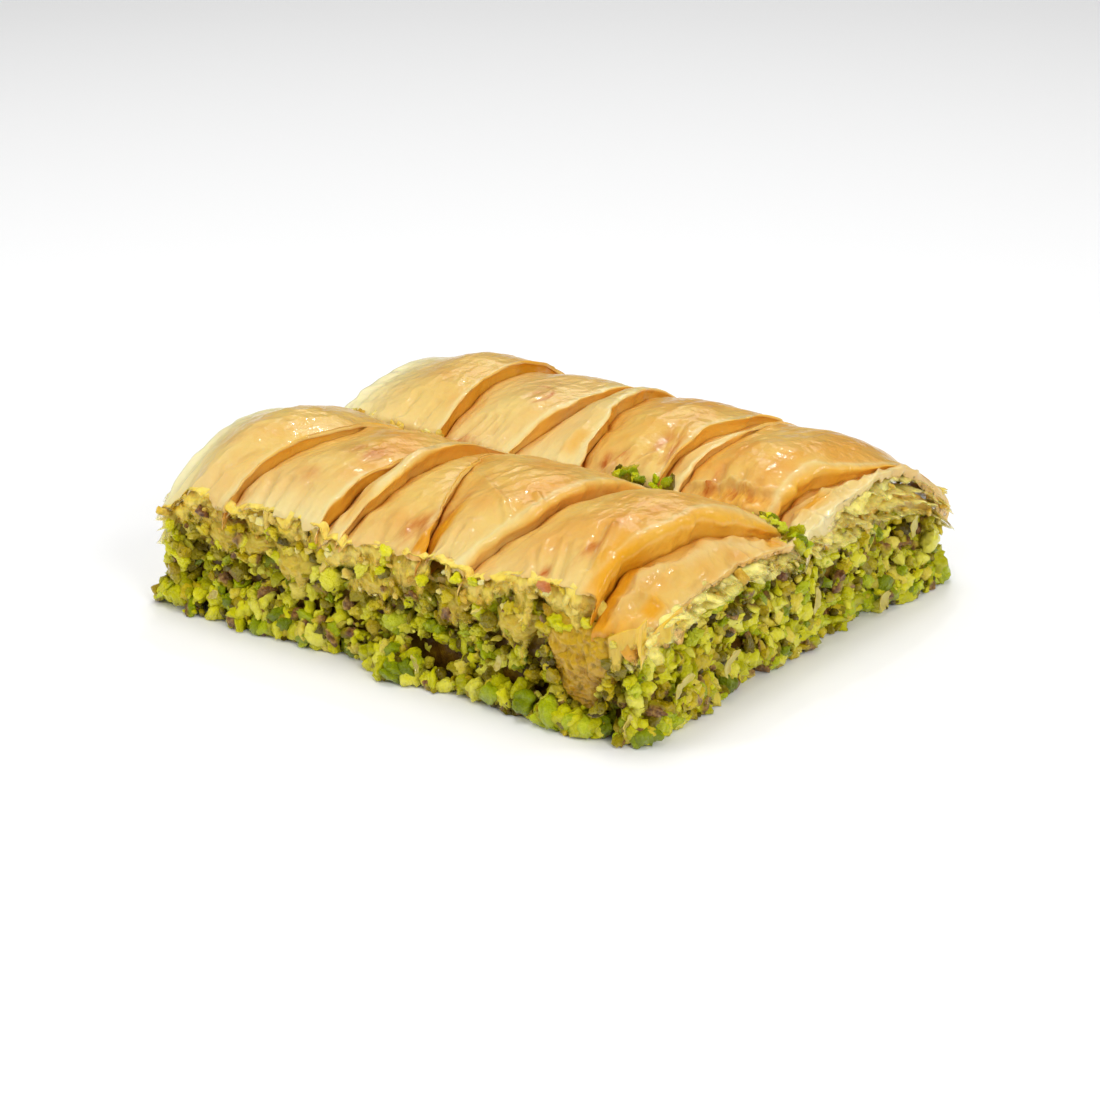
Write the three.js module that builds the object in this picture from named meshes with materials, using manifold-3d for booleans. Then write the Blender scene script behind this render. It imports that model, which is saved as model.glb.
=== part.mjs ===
import * as THREE from 'three';
import { mergeVertices } from 'three/addons/utils/BufferGeometryUtils.js';
import Module from 'manifold-3d';

// A block of pistachio baklava: two rows of pleated phyllo side by side on one bed of chopped nuts.
// Millimetres. X runs along the rows, Y across them, +Z up, origin under the middle of the block.

// Driving dimensions of the block.
const BLOCK_LENGTH = 134;
const BLOCK_WIDTH = 120.6;
const CREST_HEIGHT = 37.4;
const SEAT_CREST_HEIGHT = 31.4;
const ROW_START = -66;
const ROW_END = 66.4;
const SKIRT_WALL = 2.6;
const SEAT_CLEARANCE = 0.7;
const ARCH_POWER = 2.2;
const LIP_OVERHANG = 1.3;
const LIP_SHARE = 0.4;
const GAP_FADE = 0.55;

// Each row arches from its outer edge over a crest line down to the gap between the rows.
// Each profile is [height at the crest line, at the outer edge, at the gap edge], once for the
// top of the pastry and once for its seat on the nuts. Near an end, over its reach, the row's
// profiles turn into that end's own.
// A fold rises from under the lip before it and ends in a lip of its own. Its lip line is
// given by X where it starts on the -Y side and X where it ends on the +Y side. Its drop is
// the step down to the next fold, and its puff is how far its middle swells.
const FRONT_ROW = {
  name: 'pastry_front_row',
  outerY: -57.6,
  gapY: -2.2,
  crestY: -26,
  top: [CREST_HEIGHT, 27.5, 29.5],
  seat: [SEAT_CREST_HEIGHT, 21.5, 26],
  leftEnd: { reach: 13, top: [36, 21, 29], seat: [30, 15.5, 24.5] },
  rightEnd: { reach: 10, top: [30, 25, 27.5], seat: [26.8, 21.5, 24] },
  folds: [
    { lip: [-45, -38], drop: 3.6, puff: 2 },
    { lip: [-18, -14], drop: 4.6, puff: 0.6 },
    { lip: [-12, -4.5], drop: 4, puff: 0 },
    { lip: [10, -2.5], drop: 2.6, puff: 0 },
    { lip: [20, 29], drop: 5.2, puff: 0 },
    { lip: [51, 58], drop: 6, puff: 0.3 },
    { lip: [ROW_END, ROW_END], drop: 0, puff: 0.5 },
  ],
  skirtZ: 20.6,
  cornerLobe: { x: 55, halfWidth: 14, depth: 11.5 },
};
const BACK_ROW = {
  name: 'pastry_back_row',
  outerY: 57.6,
  gapY: 2.2,
  crestY: 31,
  top: [CREST_HEIGHT, 24, 29.5],
  seat: [SEAT_CREST_HEIGHT, 18.5, 26],
  leftEnd: { reach: 20, top: [34.2, 20, 28], seat: [28.5, 15, 24] },
  rightEnd: { reach: 22, top: [33.2, 20, 28.5], seat: [24.5, 14.5, 25] },
  folds: [
    { lip: [-35, -34], drop: 4.2, puff: 0 },
    { lip: [-13, -5], drop: 3.6, puff: 0 },
    { lip: [4, -3], drop: 3.6, puff: 0 },
    { lip: [25, 28], drop: 3.4, puff: 0.4 },
    { lip: [31.5, 34], drop: 2, puff: 0 },
    { lip: [55, 62], drop: 4.6, puff: -0.8 },
    { lip: [ROW_END, ROW_END], drop: 0, puff: 0.8 },
  ],
  skirtZ: 19.5,
  cornerLobe: { x: 55, halfWidth: 14, depth: 3 },
};

// Bed of chopped pistachio under both rows.
const BED_HALF_LENGTH = 64;
const BED_HALF_WIDTH = 54.6;
const BED_FOOT = { height: 4, reach: 2.4, endReach: 1.6 };
const GAP_RIDGE_HALF_WIDTH = 1.7;
const GAP_RIDGE_HEIGHT = 29.4;
const RIDGE_CLEARANCE = 0.45;
const NUT_SEED = 4127;
const NUT_SIZES = [3.4, 2.6];
const SMALLEST_NUT = 1.6;
const LOW_NUTS = 7;
const NUT_PITCH = 6.7;
const NUT_REACH = 1.15;
const SKIRT_CLEARANCE = 0.5;

const { clamp, lerp, smoothstep, seededRandom } = THREE.MathUtils;

/** Height at y of an arch over a row, through its profile's three heights. */
function archHeight(row, y, profile) {
  const [crestZ, outerZ, gapZ] = profile;
  const outwardShare = (y - row.crestY) / (row.outerY - row.crestY);
  const inwardShare = (y - row.crestY) / (row.gapY - row.crestY);
  const share = Math.max(outwardShare, inwardShare);
  const edgeZ = outwardShare > 0 ? outerZ : gapZ;
  return crestZ - (crestZ - edgeZ) * Math.pow(share, ARCH_POWER);
}

/** How much of each end's own profile is felt at x, as [left, right] shares. */
function endShares(row, x) {
  const left = smoothstep(ROW_START + row.leftEnd.reach - x, 0, row.leftEnd.reach);
  const right = smoothstep(x - ROW_END + row.rightEnd.reach, 0, row.rightEnd.reach);
  return [left, right];
}

/** Height at x, y of one of a row's smooth surfaces, its top or its seat. */
function surfaceHeight(row, surface, x, y) {
  const [left, right] = endShares(row, x);
  const middle = archHeight(row, y, row[surface]);
  const atLeft = archHeight(row, y, row.leftEnd[surface]);
  const atRight = archHeight(row, y, row.rightEnd[surface]);
  return middle + (atLeft - middle) * left + (atRight - middle) * right;
}

/** Smooth top of a row, without its folds. */
function rowTop(row, x, y) {
  return surfaceHeight(row, 'top', x, y);
}

/** Underside of a row's pastry, which is also the seat that it leaves on the nut bed. */
function rowUnderside(row, x, y) {
  return surfaceHeight(row, 'seat', x, y);
}

/** X of a lip line at y, straight between its two ends. */
function lipX(fold, y) {
  const rowWidth = BLOCK_WIDTH / 2;
  const share = clamp((y < 0 ? y + rowWidth : y) / rowWidth, 0, 1);
  return lerp(fold.lip[0], fold.lip[1], share);
}

/** X at share u of fold k, from just past the lip before it to its own lip. */
function foldX(row, k, u, y) {
  const before = k === 0 ? ROW_START : lipX(row.folds[k - 1], y);
  const width = lipX(row.folds[k], y) - before;
  const start = before + (k === 0 ? 0 : Math.min(LIP_OVERHANG, 0.25 * width));
  return lerp(start, lipX(row.folds[k], y), u);
}

/** Height of fold k above the smooth top: low where it comes out, high at its lip. */
function foldRise(row, k, u) {
  const low = k === 0 ? 0 : (LIP_SHARE - 1) * row.folds[k - 1].drop;
  const high = LIP_SHARE * row.folds[k].drop;
  const climb = 1 - Math.pow(1 - u, ARCH_POWER);
  return lerp(low, high, climb) + row.folds[k].puff * Math.sin(Math.PI * u);
}

/** Y of the inner face of the pastry that hangs over a row's outer side. */
function wallY(row) {
  return row.outerY - Math.sign(row.outerY) * SKIRT_WALL;
}

/** Lowest point of the pastry that hangs over the outer side at x, ragged from fold to fold. */
function skirtBottom(row, x) {
  const ragged = 1.1 * Math.sin(0.71 * x) + 0.8 * Math.sin(1.93 * x + 1);
  const across = (x - row.cornerLobe.x) / row.cornerLobe.halfWidth;
  const lobe = row.cornerLobe.depth * Math.pow(Math.max(0, 1 - across * across), 0.7);
  return Math.min(row.skirtZ, rowUnderside(row, x, wallY(row)) - 2.5) + ragged - lobe;
}

/** Y stations of a row from its outer wall's inner face to the gap, shared with the bed. */
function seatStations(row) {
  const shares = [0, 0.12, 0.28, 0.46, 0.64, 0.8, 0.92, 1];
  return shares.map((share) => lerp(wallY(row), row.gapY, share));
}

/** One cross-section of a row at share u of fold k, as a closed loop of points. */
function rowSection(row, k, u) {
  const rise = foldRise(row, k, u);
  const outside = Math.sign(row.outerY);
  const point = (y, z) => new THREE.Vector3(foldX(row, k, u, y), y, z);
  const loop = [];
  const topShares = [0.012, 0.05, 0.12, 0.22, 0.34, 0.47, 0.6, 0.73, 0.85, 0.94, 1];
  for (const share of topShares) {
    const y = lerp(row.outerY, row.gapY, share);
    const fade = 1 - GAP_FADE * smoothstep(share, 0.7, 1);
    loop.push(point(y, rowTop(row, foldX(row, k, u, y), y) + rise * fade));
  }
  for (const y of seatStations(row).reverse()) {
    loop.push(point(y, rowUnderside(row, foldX(row, k, u, y), y)));
  }
  const edgeX = foldX(row, k, u, row.outerY);
  const bottom = skirtBottom(row, edgeX);
  loop.push(point(wallY(row), bottom + 0.6));
  loop.push(point(row.outerY - outside * 0.6, bottom));
  const bulge = row.outerY + outside * 0.25 * rise;
  loop.push(point(bulge, bottom + 0.45 * (rowTop(row, edgeX, row.outerY) - bottom)));
  loop.push(point(bulge, rowTop(row, edgeX, row.outerY) + rise - 1.4));
  return loop;
}

/** Triangles over one loop of an end, turning the same way as the loop itself. */
function capTriangles(loop) {
  const flat = loop.map((p) => new THREE.Vector2(p.y, p.z));
  const sense = Math.sign(THREE.ShapeUtils.area(flat));
  const triangles = THREE.ShapeUtils.triangulateShape(flat, []);
  return triangles.map(([a, b, c]) => {
    const turn = Math.sign(THREE.ShapeUtils.area([flat[a], flat[b], flat[c]]));
    return turn === sense ? [a, b, c] : [b, a, c];
  });
}

/** Closed geometry through a list of equal loops, with both end loops capped. */
function skinLoops(loops) {
  const size = loops[0].length;
  const positions = loops.flat().flatMap((p) => [p.x, p.y, p.z]);
  const index = [];
  for (let i = 0; i + 1 < loops.length; i += 1) {
    for (let j = 0; j < size; j += 1) {
      const a = i * size + j;
      const b = i * size + (j + 1) % size;
      index.push(a, b, a + size, b, b + size, a + size);
    }
  }
  const last = (loops.length - 1) * size;
  for (const [a, b, c] of capTriangles(loops[0])) {
    index.push(b, a, c);
  }
  for (const [a, b, c] of capTriangles(loops[loops.length - 1])) {
    index.push(last + a, last + b, last + c);
  }
  return facingOut(positions, index);
}

/** Geometry from positions and triangles, turned so that its faces point outwards. */
function facingOut(positions, index) {
  const geometry = new THREE.BufferGeometry();
  geometry.setAttribute('position', new THREE.Float32BufferAttribute(positions, 3));
  const corner = (i) => new THREE.Vector3().fromArray(positions, 3 * i);
  let volume = 0;
  for (let i = 0; i < index.length; i += 3) {
    volume += corner(index[i]).dot(corner(index[i + 1]).cross(corner(index[i + 2])));
  }
  geometry.setIndex(volume > 0 ? index : index.reverse());
  return geometry;
}

/** The pleated pastry of one row, with more sections on its wider folds. */
function pleatedRow(row) {
  const loops = [];
  row.folds.forEach((fold, k) => {
    const width = foldX(row, k, 1, row.crestY) - foldX(row, k, 0, row.crestY);
    const steps = clamp(Math.round(width / 4.2) + 1, 3, 7);
    for (let i = 0; i <= steps; i += 1) {
      loops.push(rowSection(row, k, Math.sin(i / steps * Math.PI / 2)));
    }
  });
  return skinLoops(loops);
}

/** Top of the bare bed: the rows' seats, and a low ridge of nuts in the gap between them. */
function bedTop(x, y) {
  const row = y < 0 ? FRONT_ROW : BACK_ROW;
  if (Math.abs(y) <= GAP_RIDGE_HALF_WIDTH) {
    const [left, right] = endShares(FRONT_ROW, x);
    return GAP_RIDGE_HEIGHT - 2.5 * (left + right);
  }
  return rowUnderside(row, x, y) - SEAT_CLEARANCE;
}

/** One section of the bare bed at x, no higher than its limit, standing on an uneven foot. */
function bedSection(x, topY, limit, reach) {
  const loop = topY.map((y) => new THREE.Vector3(x, y, Math.min(limit, bedTop(x, y))));
  const footY = BED_HALF_WIDTH + reach * (0.8 + 0.2 * Math.sin(0.9 * x));
  const footZ = BED_FOOT.height * (0.8 + 0.2 * Math.sin(0.43 * x));
  const side = [[BED_HALF_WIDTH, footZ + 1], [footY, footZ], [footY, 0]];
  side.forEach(([y, z]) => loop.push(new THREE.Vector3(x, y, z)));
  side.reverse().forEach(([y, z]) => loop.push(new THREE.Vector3(x, -y, z)));
  return loop;
}

/** The bare bed, as one section across both rows carried along X, with a foot all round. */
function bedCore() {
  const inner = (y) => clamp(y, -BED_HALF_WIDTH, BED_HALF_WIDTH);
  const nearGap = (y, step) => y + Math.sign(y) * step;
  const frontSeat = seatStations(FRONT_ROW).map(inner);
  const backSeat = seatStations(BACK_ROW).map(inner).reverse();
  frontSeat[frontSeat.length - 1] = nearGap(FRONT_ROW.gapY, -RIDGE_CLEARANCE);
  backSeat[0] = nearGap(BACK_ROW.gapY, -RIDGE_CLEARANCE);
  const ridge = [-GAP_RIDGE_HALF_WIDTH, 0, GAP_RIDGE_HALF_WIDTH];
  const topY = [...frontSeat, ...ridge, ...backSeat];
  const footEnd = BED_HALF_LENGTH + BED_FOOT.endReach;
  const low = BED_FOOT.height + 2;
  const loops = [bedSection(-footEnd, topY, low, 0.3)];
  const stations = 16;
  for (let i = 0; i <= stations; i += 1) {
    const x = BED_HALF_LENGTH * Math.sin((i / stations - 0.5) * Math.PI);
    loops.push(bedSection(x, topY, CREST_HEIGHT, BED_FOOT.reach));
  }
  loops.push(bedSection(footEnd, topY, low, 0.3));
  return skinLoops(loops);
}

/** One chopped nut: a chipped, stretched lump of about twenty facets. */
function nutPiece(centre, size) {
  const geometry = new THREE.IcosahedronGeometry(1, 0);
  geometry.deleteAttribute('normal');
  geometry.deleteAttribute('uv');
  const lump = mergeVertices(geometry, 1e-4);
  const position = lump.getAttribute('position');
  for (let i = 0; i < position.count; i += 1) {
    const chip = 0.8 + 0.35 * seededRandom();
    position.setXYZ(i, position.getX(i) * chip, position.getY(i) * chip, position.getZ(i) * chip);
  }
  const stretch = 0.85 + 0.5 * seededRandom();
  const turn = new THREE.Euler(6.28 * seededRandom(), 6.28 * seededRandom(), 6.28 * seededRandom());
  lump.scale(size, size * 0.85 / stretch, size * stretch);
  lump.applyQuaternion(new THREE.Quaternion().setFromEuler(turn));
  lump.translate(centre.x, centre.y, centre.z);
  return lump;
}

/** Places over a wall, along by up, in rows shifted like brickwork and then disturbed. */
function wallPlaces(along, up, pitch) {
  const places = [];
  const rows = Math.max(1, Math.round((up[1] - up[0]) / pitch));
  const columns = Math.round((along[1] - along[0]) / pitch);
  for (let j = 0; j < rows; j += 1) {
    for (let i = 0; i < columns; i += 1) {
      const shift = 0.5 * (j % 2) + 0.5 * (seededRandom() - 0.5);
      const rise = 0.5 + 0.4 * (seededRandom() - 0.5);
      places.push([
        lerp(along[0], along[1], (i + 0.25 + shift) / columns),
        lerp(up[0], up[1], (j + rise) / rows),
      ]);
    }
  }
  return places;
}

/** Size of a nut at height z: the large ones lie low, where they have rolled out. */
function nutSize(z) {
  return NUT_SIZES[z < LOW_NUTS ? 0 : 1] * (0.85 + 0.4 * seededRandom());
}

/** Nuts on the two long sides, below the pastry that hangs over them. */
function sideNuts() {
  const nuts = [];
  for (const row of [FRONT_ROW, BACK_ROW]) {
    const outside = Math.sign(row.outerY);
    for (const [x, z] of wallPlaces([-65, 65], [0, 20], NUT_PITCH)) {
      const skirt = Math.min(...[-3, 0, 3].map((step) => skirtBottom(row, x + step)));
      const size = Math.min(nutSize(z), (skirt - SKIRT_CLEARANCE - z) / NUT_REACH);
      const proud = z < LOW_NUTS ? 2.7 : 0.9;
      if (size > SMALLEST_NUT) {
        nuts.push(nutPiece(new THREE.Vector3(x, outside * (BED_HALF_WIDTH + proud), z), size));
      }
    }
  }
  return nuts;
}

/** Nuts on the two cut ends, below the pastry's lower edge. */
function endNuts() {
  const nuts = [];
  for (const side of [-1, 1]) {
    for (const [y, z] of wallPlaces([-56, 56], [0, 28], NUT_PITCH)) {
      const row = y < 0 ? FRONT_ROW : BACK_ROW;
      const near = [-3, 0, 3].map((step) => Math.abs(y) + step);
      const inRow = near.map((reach) => {
        return Math.sign(y) * clamp(reach, Math.abs(row.gapY), Math.abs(row.outerY));
      });
      const seat = Math.min(...inRow.map((nearY) => rowUnderside(row, side * ROW_END, nearY)));
      const skirt = Math.abs(y) > 50 ? skirtBottom(row, side * ROW_END) : seat;
      const ceiling = Math.min(seat, skirt) - SKIRT_CLEARANCE;
      const size = Math.min(nutSize(z), (ceiling - z) / NUT_REACH);
      const proud = z < LOW_NUTS ? 1.6 : 0.3;
      if (size > SMALLEST_NUT) {
        nuts.push(nutPiece(new THREE.Vector3(side * (BED_HALF_LENGTH + proud), y, z), size));
      }
    }
  }
  return nuts;
}

/** Nuts standing in the gap between the two rows. */
function gapNuts() {
  const nuts = [];
  for (const [x] of wallPlaces([-56, 60], [0, 1], 6.5)) {
    const size = 1.45 + 0.2 * seededRandom();
    nuts.push(nutPiece(new THREE.Vector3(x, 0, GAP_RIDGE_HEIGHT + 0.2), size));
  }
  return nuts;
}

/** Turns a closed geometry into a solid that can be joined and cut. */
function toSolid(wasm, geometry) {
  const bare = geometry.clone();
  bare.deleteAttribute('normal');
  bare.deleteAttribute('uv');
  const merged = mergeVertices(bare, 1e-5);
  return new wasm.Manifold(new wasm.Mesh({
    numProp: 3,
    vertProperties: new Float32Array(merged.getAttribute('position').array),
    triVerts: new Uint32Array(merged.getIndex().array),
  }));
}

/** Turns a solid back into a geometry, keeping only its outer shell. */
function outerShell(solid) {
  const mesh = solid.getMesh();
  const parent = Array.from({ length: mesh.numVert }, (_, i) => i);
  const root = (i) => {
    let r = i;
    while (parent[r] !== r) {
      parent[r] = parent[parent[r]];
      r = parent[r];
    }
    return r;
  };
  for (let t = 0; t < mesh.triVerts.length; t += 3) {
    parent[root(mesh.triVerts[t])] = root(mesh.triVerts[t + 1]);
    parent[root(mesh.triVerts[t + 1])] = root(mesh.triVerts[t + 2]);
  }
  const count = new Map();
  for (let t = 0; t < mesh.triVerts.length; t += 3) {
    const shell = root(mesh.triVerts[t]);
    count.set(shell, (count.get(shell) || 0) + 1);
  }
  const largest = [...count.entries()].sort((a, b) => b[1] - a[1])[0][0];
  const index = [];
  for (let t = 0; t < mesh.triVerts.length; t += 3) {
    if (root(mesh.triVerts[t]) === largest) {
      index.push(mesh.triVerts[t], mesh.triVerts[t + 1], mesh.triVerts[t + 2]);
    }
  }
  const geometry = new THREE.BufferGeometry();
  const corners = new Float32Array(mesh.vertProperties);
  geometry.setAttribute('position', new THREE.BufferAttribute(corners, 3));
  geometry.setIndex(index);
  return mergeVertices(geometry.toNonIndexed(), 1e-5);
}

/** The nut bed with its chopped nuts fused on, trimmed flat below and to the block's outline. */
function pistachioBed(wasm) {
  seededRandom(NUT_SEED);
  let bed = toSolid(wasm, bedCore());
  for (const nut of [...sideNuts(), ...endNuts(), ...gapNuts()]) {
    bed = bed.add(toSolid(wasm, nut));
  }
  const outline = new THREE.BoxGeometry(BLOCK_LENGTH, BLOCK_WIDTH, 2 * CREST_HEIGHT);
  outline.translate(0, 0, CREST_HEIGHT);
  return outerShell(bed.intersect(toSolid(wasm, outline)));
}

/** A named mesh with its own colour and gloss. */
function piece(name, geometry, color, roughness) {
  const material = new THREE.MeshStandardMaterial({ color, roughness, metalness: 0 });
  const mesh = new THREE.Mesh(geometry, material);
  mesh.name = name;
  return mesh;
}

const wasm = await Module();
wasm.setup();

const baklava = new THREE.Group();
baklava.add(piece('pistachio_filling', pistachioBed(wasm), 0x98a02c, 0.45));
baklava.add(piece(FRONT_ROW.name, pleatedRow(FRONT_ROW), 0xe8b45f, 0.25));
baklava.add(piece(BACK_ROW.name, pleatedRow(BACK_ROW), 0xe8b45f, 0.25));

export default baklava;
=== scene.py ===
import bpy
import numpy as np
from mathutils import Matrix, Vector


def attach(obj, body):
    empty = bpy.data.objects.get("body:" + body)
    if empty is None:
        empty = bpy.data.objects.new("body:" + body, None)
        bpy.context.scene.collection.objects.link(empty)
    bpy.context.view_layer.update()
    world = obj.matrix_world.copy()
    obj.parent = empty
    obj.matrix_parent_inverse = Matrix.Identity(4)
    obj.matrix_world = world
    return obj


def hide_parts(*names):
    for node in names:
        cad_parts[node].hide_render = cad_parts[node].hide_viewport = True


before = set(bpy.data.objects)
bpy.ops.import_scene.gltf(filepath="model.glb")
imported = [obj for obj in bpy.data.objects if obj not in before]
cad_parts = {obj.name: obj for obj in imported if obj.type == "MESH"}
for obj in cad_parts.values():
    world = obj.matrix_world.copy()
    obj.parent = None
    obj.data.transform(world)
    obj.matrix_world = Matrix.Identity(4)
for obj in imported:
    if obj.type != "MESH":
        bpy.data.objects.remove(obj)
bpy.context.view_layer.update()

# A block of pistachio baklava. Sizes are millimetres in the CAD frame: X along the two rows
# of pastry, Y across them from the front row to the back row, Z up from the underside.
MM = 0.001

# ---------------------------------------------------------------------------------------
# Camera: a long lens in front of the near corner, looking down on the block.
EYE = Vector((397.0, -513.1, 257.1)) * MM
AZIMUTH, PITCH, ROLL = np.radians([37.82, 20.83, -0.394])
VIEW_ANGLE = np.radians(20.0)
SENSOR_WIDTH = 36
CLIP_START = 0.01


def aimed_camera():
    """Camera axes from the heading, the pitch below the horizon and a slight roll."""
    forward = Vector((-np.sin(AZIMUTH) * np.cos(PITCH), np.cos(AZIMUTH) * np.cos(PITCH), -np.sin(PITCH)))
    right = Vector((np.cos(AZIMUTH), np.sin(AZIMUTH), 0))
    up = right.cross(forward)
    across = right * np.cos(ROLL) + up * np.sin(ROLL)
    upright = up * np.cos(ROLL) - right * np.sin(ROLL)
    data = bpy.data.cameras.new("camera")
    data.sensor_width = SENSOR_WIDTH
    data.angle = VIEW_ANGLE
    data.clip_start = CLIP_START
    camera = bpy.data.objects.new("camera", data)
    turn = Matrix((across, upright, -forward)).transposed()
    camera.matrix_world = Matrix.Translation(EYE) @ turn.to_4x4()
    bpy.context.scene.collection.objects.link(camera)
    return camera


bpy.context.scene.camera = aimed_camera()


# ---------------------------------------------------------------------------------------
# Studio: a white table top that runs out of sight, broad soft boxes overhead, in front and at
# the left, small ones that draw the highlights in the syrup, and a pale surround.
def linear(red, green, blue):
    """Screen colour from 0 to 255 as the linear colour that a shader takes."""
    share = np.array([red, green, blue]) / 255
    return (*np.where(share < 0.04045, share / 12.92, ((share + 0.055) / 1.055) ** 2.4), 1.0)


def new_material(name, color, roughness, **settings):
    """A material with one Principled shader, and its tree and shader to build on."""
    material = bpy.data.materials.new(name)
    material.use_nodes = True
    tree = material.node_tree
    shader = tree.nodes["Principled BSDF"]
    shader.inputs["Base Color"].default_value = color
    shader.inputs["Roughness"].default_value = roughness
    for socket, value in settings.items():
        shader.inputs[socket.replace("_", " ")].default_value = value
    return material, tree, shader


def soft_box(name, place, target, width, height, power, mirrored):
    """A rectangular lamp at a place in metres that faces a target. Only a mirrored one shows in
    glossy surfaces."""
    data = bpy.data.lights.new(name, "AREA")
    data.shape = "RECTANGLE"
    data.size = width
    data.size_y = height
    data.energy = power
    lamp = bpy.data.objects.new(name, data)
    lamp.location = place
    lamp.visible_glossy = mirrored
    lamp.rotation_euler = (Vector(target) - Vector(place)).to_track_quat("-Z", "Y").to_euler()
    bpy.context.scene.collection.objects.link(lamp)


TABLE_HALF = 6.0
TABLE_WHITE = linear(243, 243, 243)
SURROUND_STRENGTH = 0.29
LAMPS = [
    # name, place and target in metres, width, height, power in watts, shows in the syrup
    ("overhead_box", (-0.1, 0.1, 1.15), (0, 0, 0.02), 0.6, 0.6, 6.7, False),
    ("front_box", (0.85, -0.35, 0.5), (0, 0, 0.02), 0.4, 0.4, 4.4, False),
    ("left_box", (-0.8, -0.7, 0.5), (0, 0, 0.02), 0.5, 0.5, 4.8, False),
    ("sheen_box", (-0.5, 0.85, 0.75), (0, 0, 0.03), 0.5, 0.3, 0.7, True),
    ("glint_box", (0.15, -0.35, 1.0), (0, 0, 0.02), 0.08, 0.08, 1.0, True),
    ("low_glint_box", (0.3, -0.8, 0.7), (0, -0.05, 0.02), 0.06, 0.06, 0.7, True),
    ("highlight_box", (-0.35, 0.55, 0.9), (0, 0, 0.03), 0.06, 0.06, 1.0, True),
    ("side_highlight_box", (0.75, 0.45, 0.75), (0, 0, 0.03), 0.1, 0.25, 1.4, True),
]

table_corners = [(x * TABLE_HALF, y * TABLE_HALF, 0) for x, y in ((-1, -1), (1, -1), (1, 1), (-1, 1))]
table_mesh = bpy.data.meshes.new("table_top")
table_mesh.from_pydata(table_corners, [], [(0, 1, 2, 3)])
table_top = bpy.data.objects.new("table_top", table_mesh)
bpy.context.scene.collection.objects.link(table_top)
table_white, _, _ = new_material("table_white", TABLE_WHITE, 0.55)
table_mesh.materials.append(table_white)

world = bpy.data.worlds.new("studio")
world.use_nodes = True
background = world.node_tree.nodes["Background"]
background.inputs["Color"].default_value = (1.0, 1.0, 1.0, 1.0)
background.inputs["Strength"].default_value = SURROUND_STRENGTH
world.cycles_visibility.glossy = False
bpy.context.scene.world = world
bpy.context.scene.view_settings.view_transform = "Standard"
for lamp in LAMPS:
    soft_box(*lamp)


# ---------------------------------------------------------------------------------------
# Nut bed: finely chopped pistachio soaked in syrup, pressed under both rows of pastry. The
# mass behind the loose pieces is one lumpy dark body with its top shaped by the pastry. Its
# dark is partly the soaked paste's own colour and partly painted shade in the hollows between
# the nuts.
#
# Of each row of pastry, outer, gap and crest are Y. top and seat are heights at the crest, the
# outer edge and the gap edge, first in the middle and then at each end, to which they turn over
# its reach. skirt is the height of the hanging rags, and lobe_depth how far a lobe hangs lower.
FRONT_ROW = {
    "name": "front", "node": "pastry_front_row", "side": -1,
    "outer": -57.6, "gap": -2.2, "crest": -26.0,
    "top": (37.4, 27.5, 29.5), "seat": (31.4, 21.5, 26.0),
    "left": {"reach": 13, "top": (36, 21, 29), "seat": (30, 15.5, 24.5)},
    "right": {"reach": 10, "top": (30, 25, 27.5), "seat": (26.8, 21.5, 24)},
    "skirt": 20.6, "lobe_depth": 11.5,
}
BACK_ROW = {
    "name": "back", "node": "pastry_back_row", "side": 1,
    "outer": 57.6, "gap": 2.2, "crest": 31.0,
    "top": (37.4, 24.0, 29.5), "seat": (31.4, 18.5, 26.0),
    "left": {"reach": 20, "top": (34.2, 20, 28), "seat": (28.5, 15, 24)},
    "right": {"reach": 22, "top": (33.2, 20, 28.5), "seat": (24.5, 14.5, 25)},
    "skirt": 19.5, "lobe_depth": 3.0,
}
ROW_START, ROW_END = -66.0, 66.4
ARCH_POWER = 2.2
SKIRT_WALL = 2.6
LOBE_X, LOBE_HALF = 51.5, 11.0
BED_HALF_LENGTH, BED_HALF_WIDTH = 61.0, 53.2
BED_UNDERSIDE, BED_MIDDLE = 0.4, 14.0
BED_CLEARANCE = 1.2
GAP_HALF = 1.7
GAP_RIDGE, RIDGE_FALL = 28.8, 2.0
LOWEST = 0.2
# Points of the bed's grid: along it, over its top, up each side, and underneath.
BED_POINTS = (110, 72, 12, 30)
# Height from which the nut mass turns from dark to tan, and how fast it does.
TAN_FROM, TAN_RISE = 13, 6
# Large primes that scramble the whole numbers of a lattice point into a random one.
AXIS_PRIMES = (73856093, 19349663, 83492791)
FIRST_SCRAMBLE, SECOND_SCRAMBLE = 1274126177, 668265263


def smooth(share):
    """Smooth step: 0 below 0, 1 above 1, with level ends."""
    share = np.clip(share, 0, 1)
    return share * share * (3 - 2 * share)


def lattice_noise(seed, *coords):
    """Noise from -1 to 1: random values at whole-numbered points, blended by smooth steps."""
    cells = [np.floor(c).astype(np.int64) for c in coords]
    eased = [smooth(c - cell) for c, cell in zip(coords, cells)]
    total = 0
    for corner in np.ndindex(*(2,) * len(coords)):
        key = np.int64(seed * 7919 + 11)
        weight = 1
        for step, cell, ease, prime in zip(corner, cells, eased, AXIS_PRIMES):
            key = key ^ ((cell + step) * prime)
            weight = weight * (ease if step else 1 - ease)
        key = ((key & 0x7FFFFFFF) * FIRST_SCRAMBLE) >> 9
        key = ((key & 0x3FFFFFFF) * SECOND_SCRAMBLE) >> 11
        total = total + weight * ((key & 0xFFFFF) / 0x7FFFF - 1)
    return total


def arch_height(row, y, profile):
    """Height over a row: from the crest line it falls by a power of the way to an edge."""
    crest, outer, gap = profile
    outward = (y - row["crest"]) / (row["outer"] - row["crest"])
    inward = (y - row["crest"]) / (row["gap"] - row["crest"])
    share = np.maximum(outward, inward)
    return crest - (crest - np.where(outward > 0, outer, gap)) * np.abs(share) ** ARCH_POWER


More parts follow.
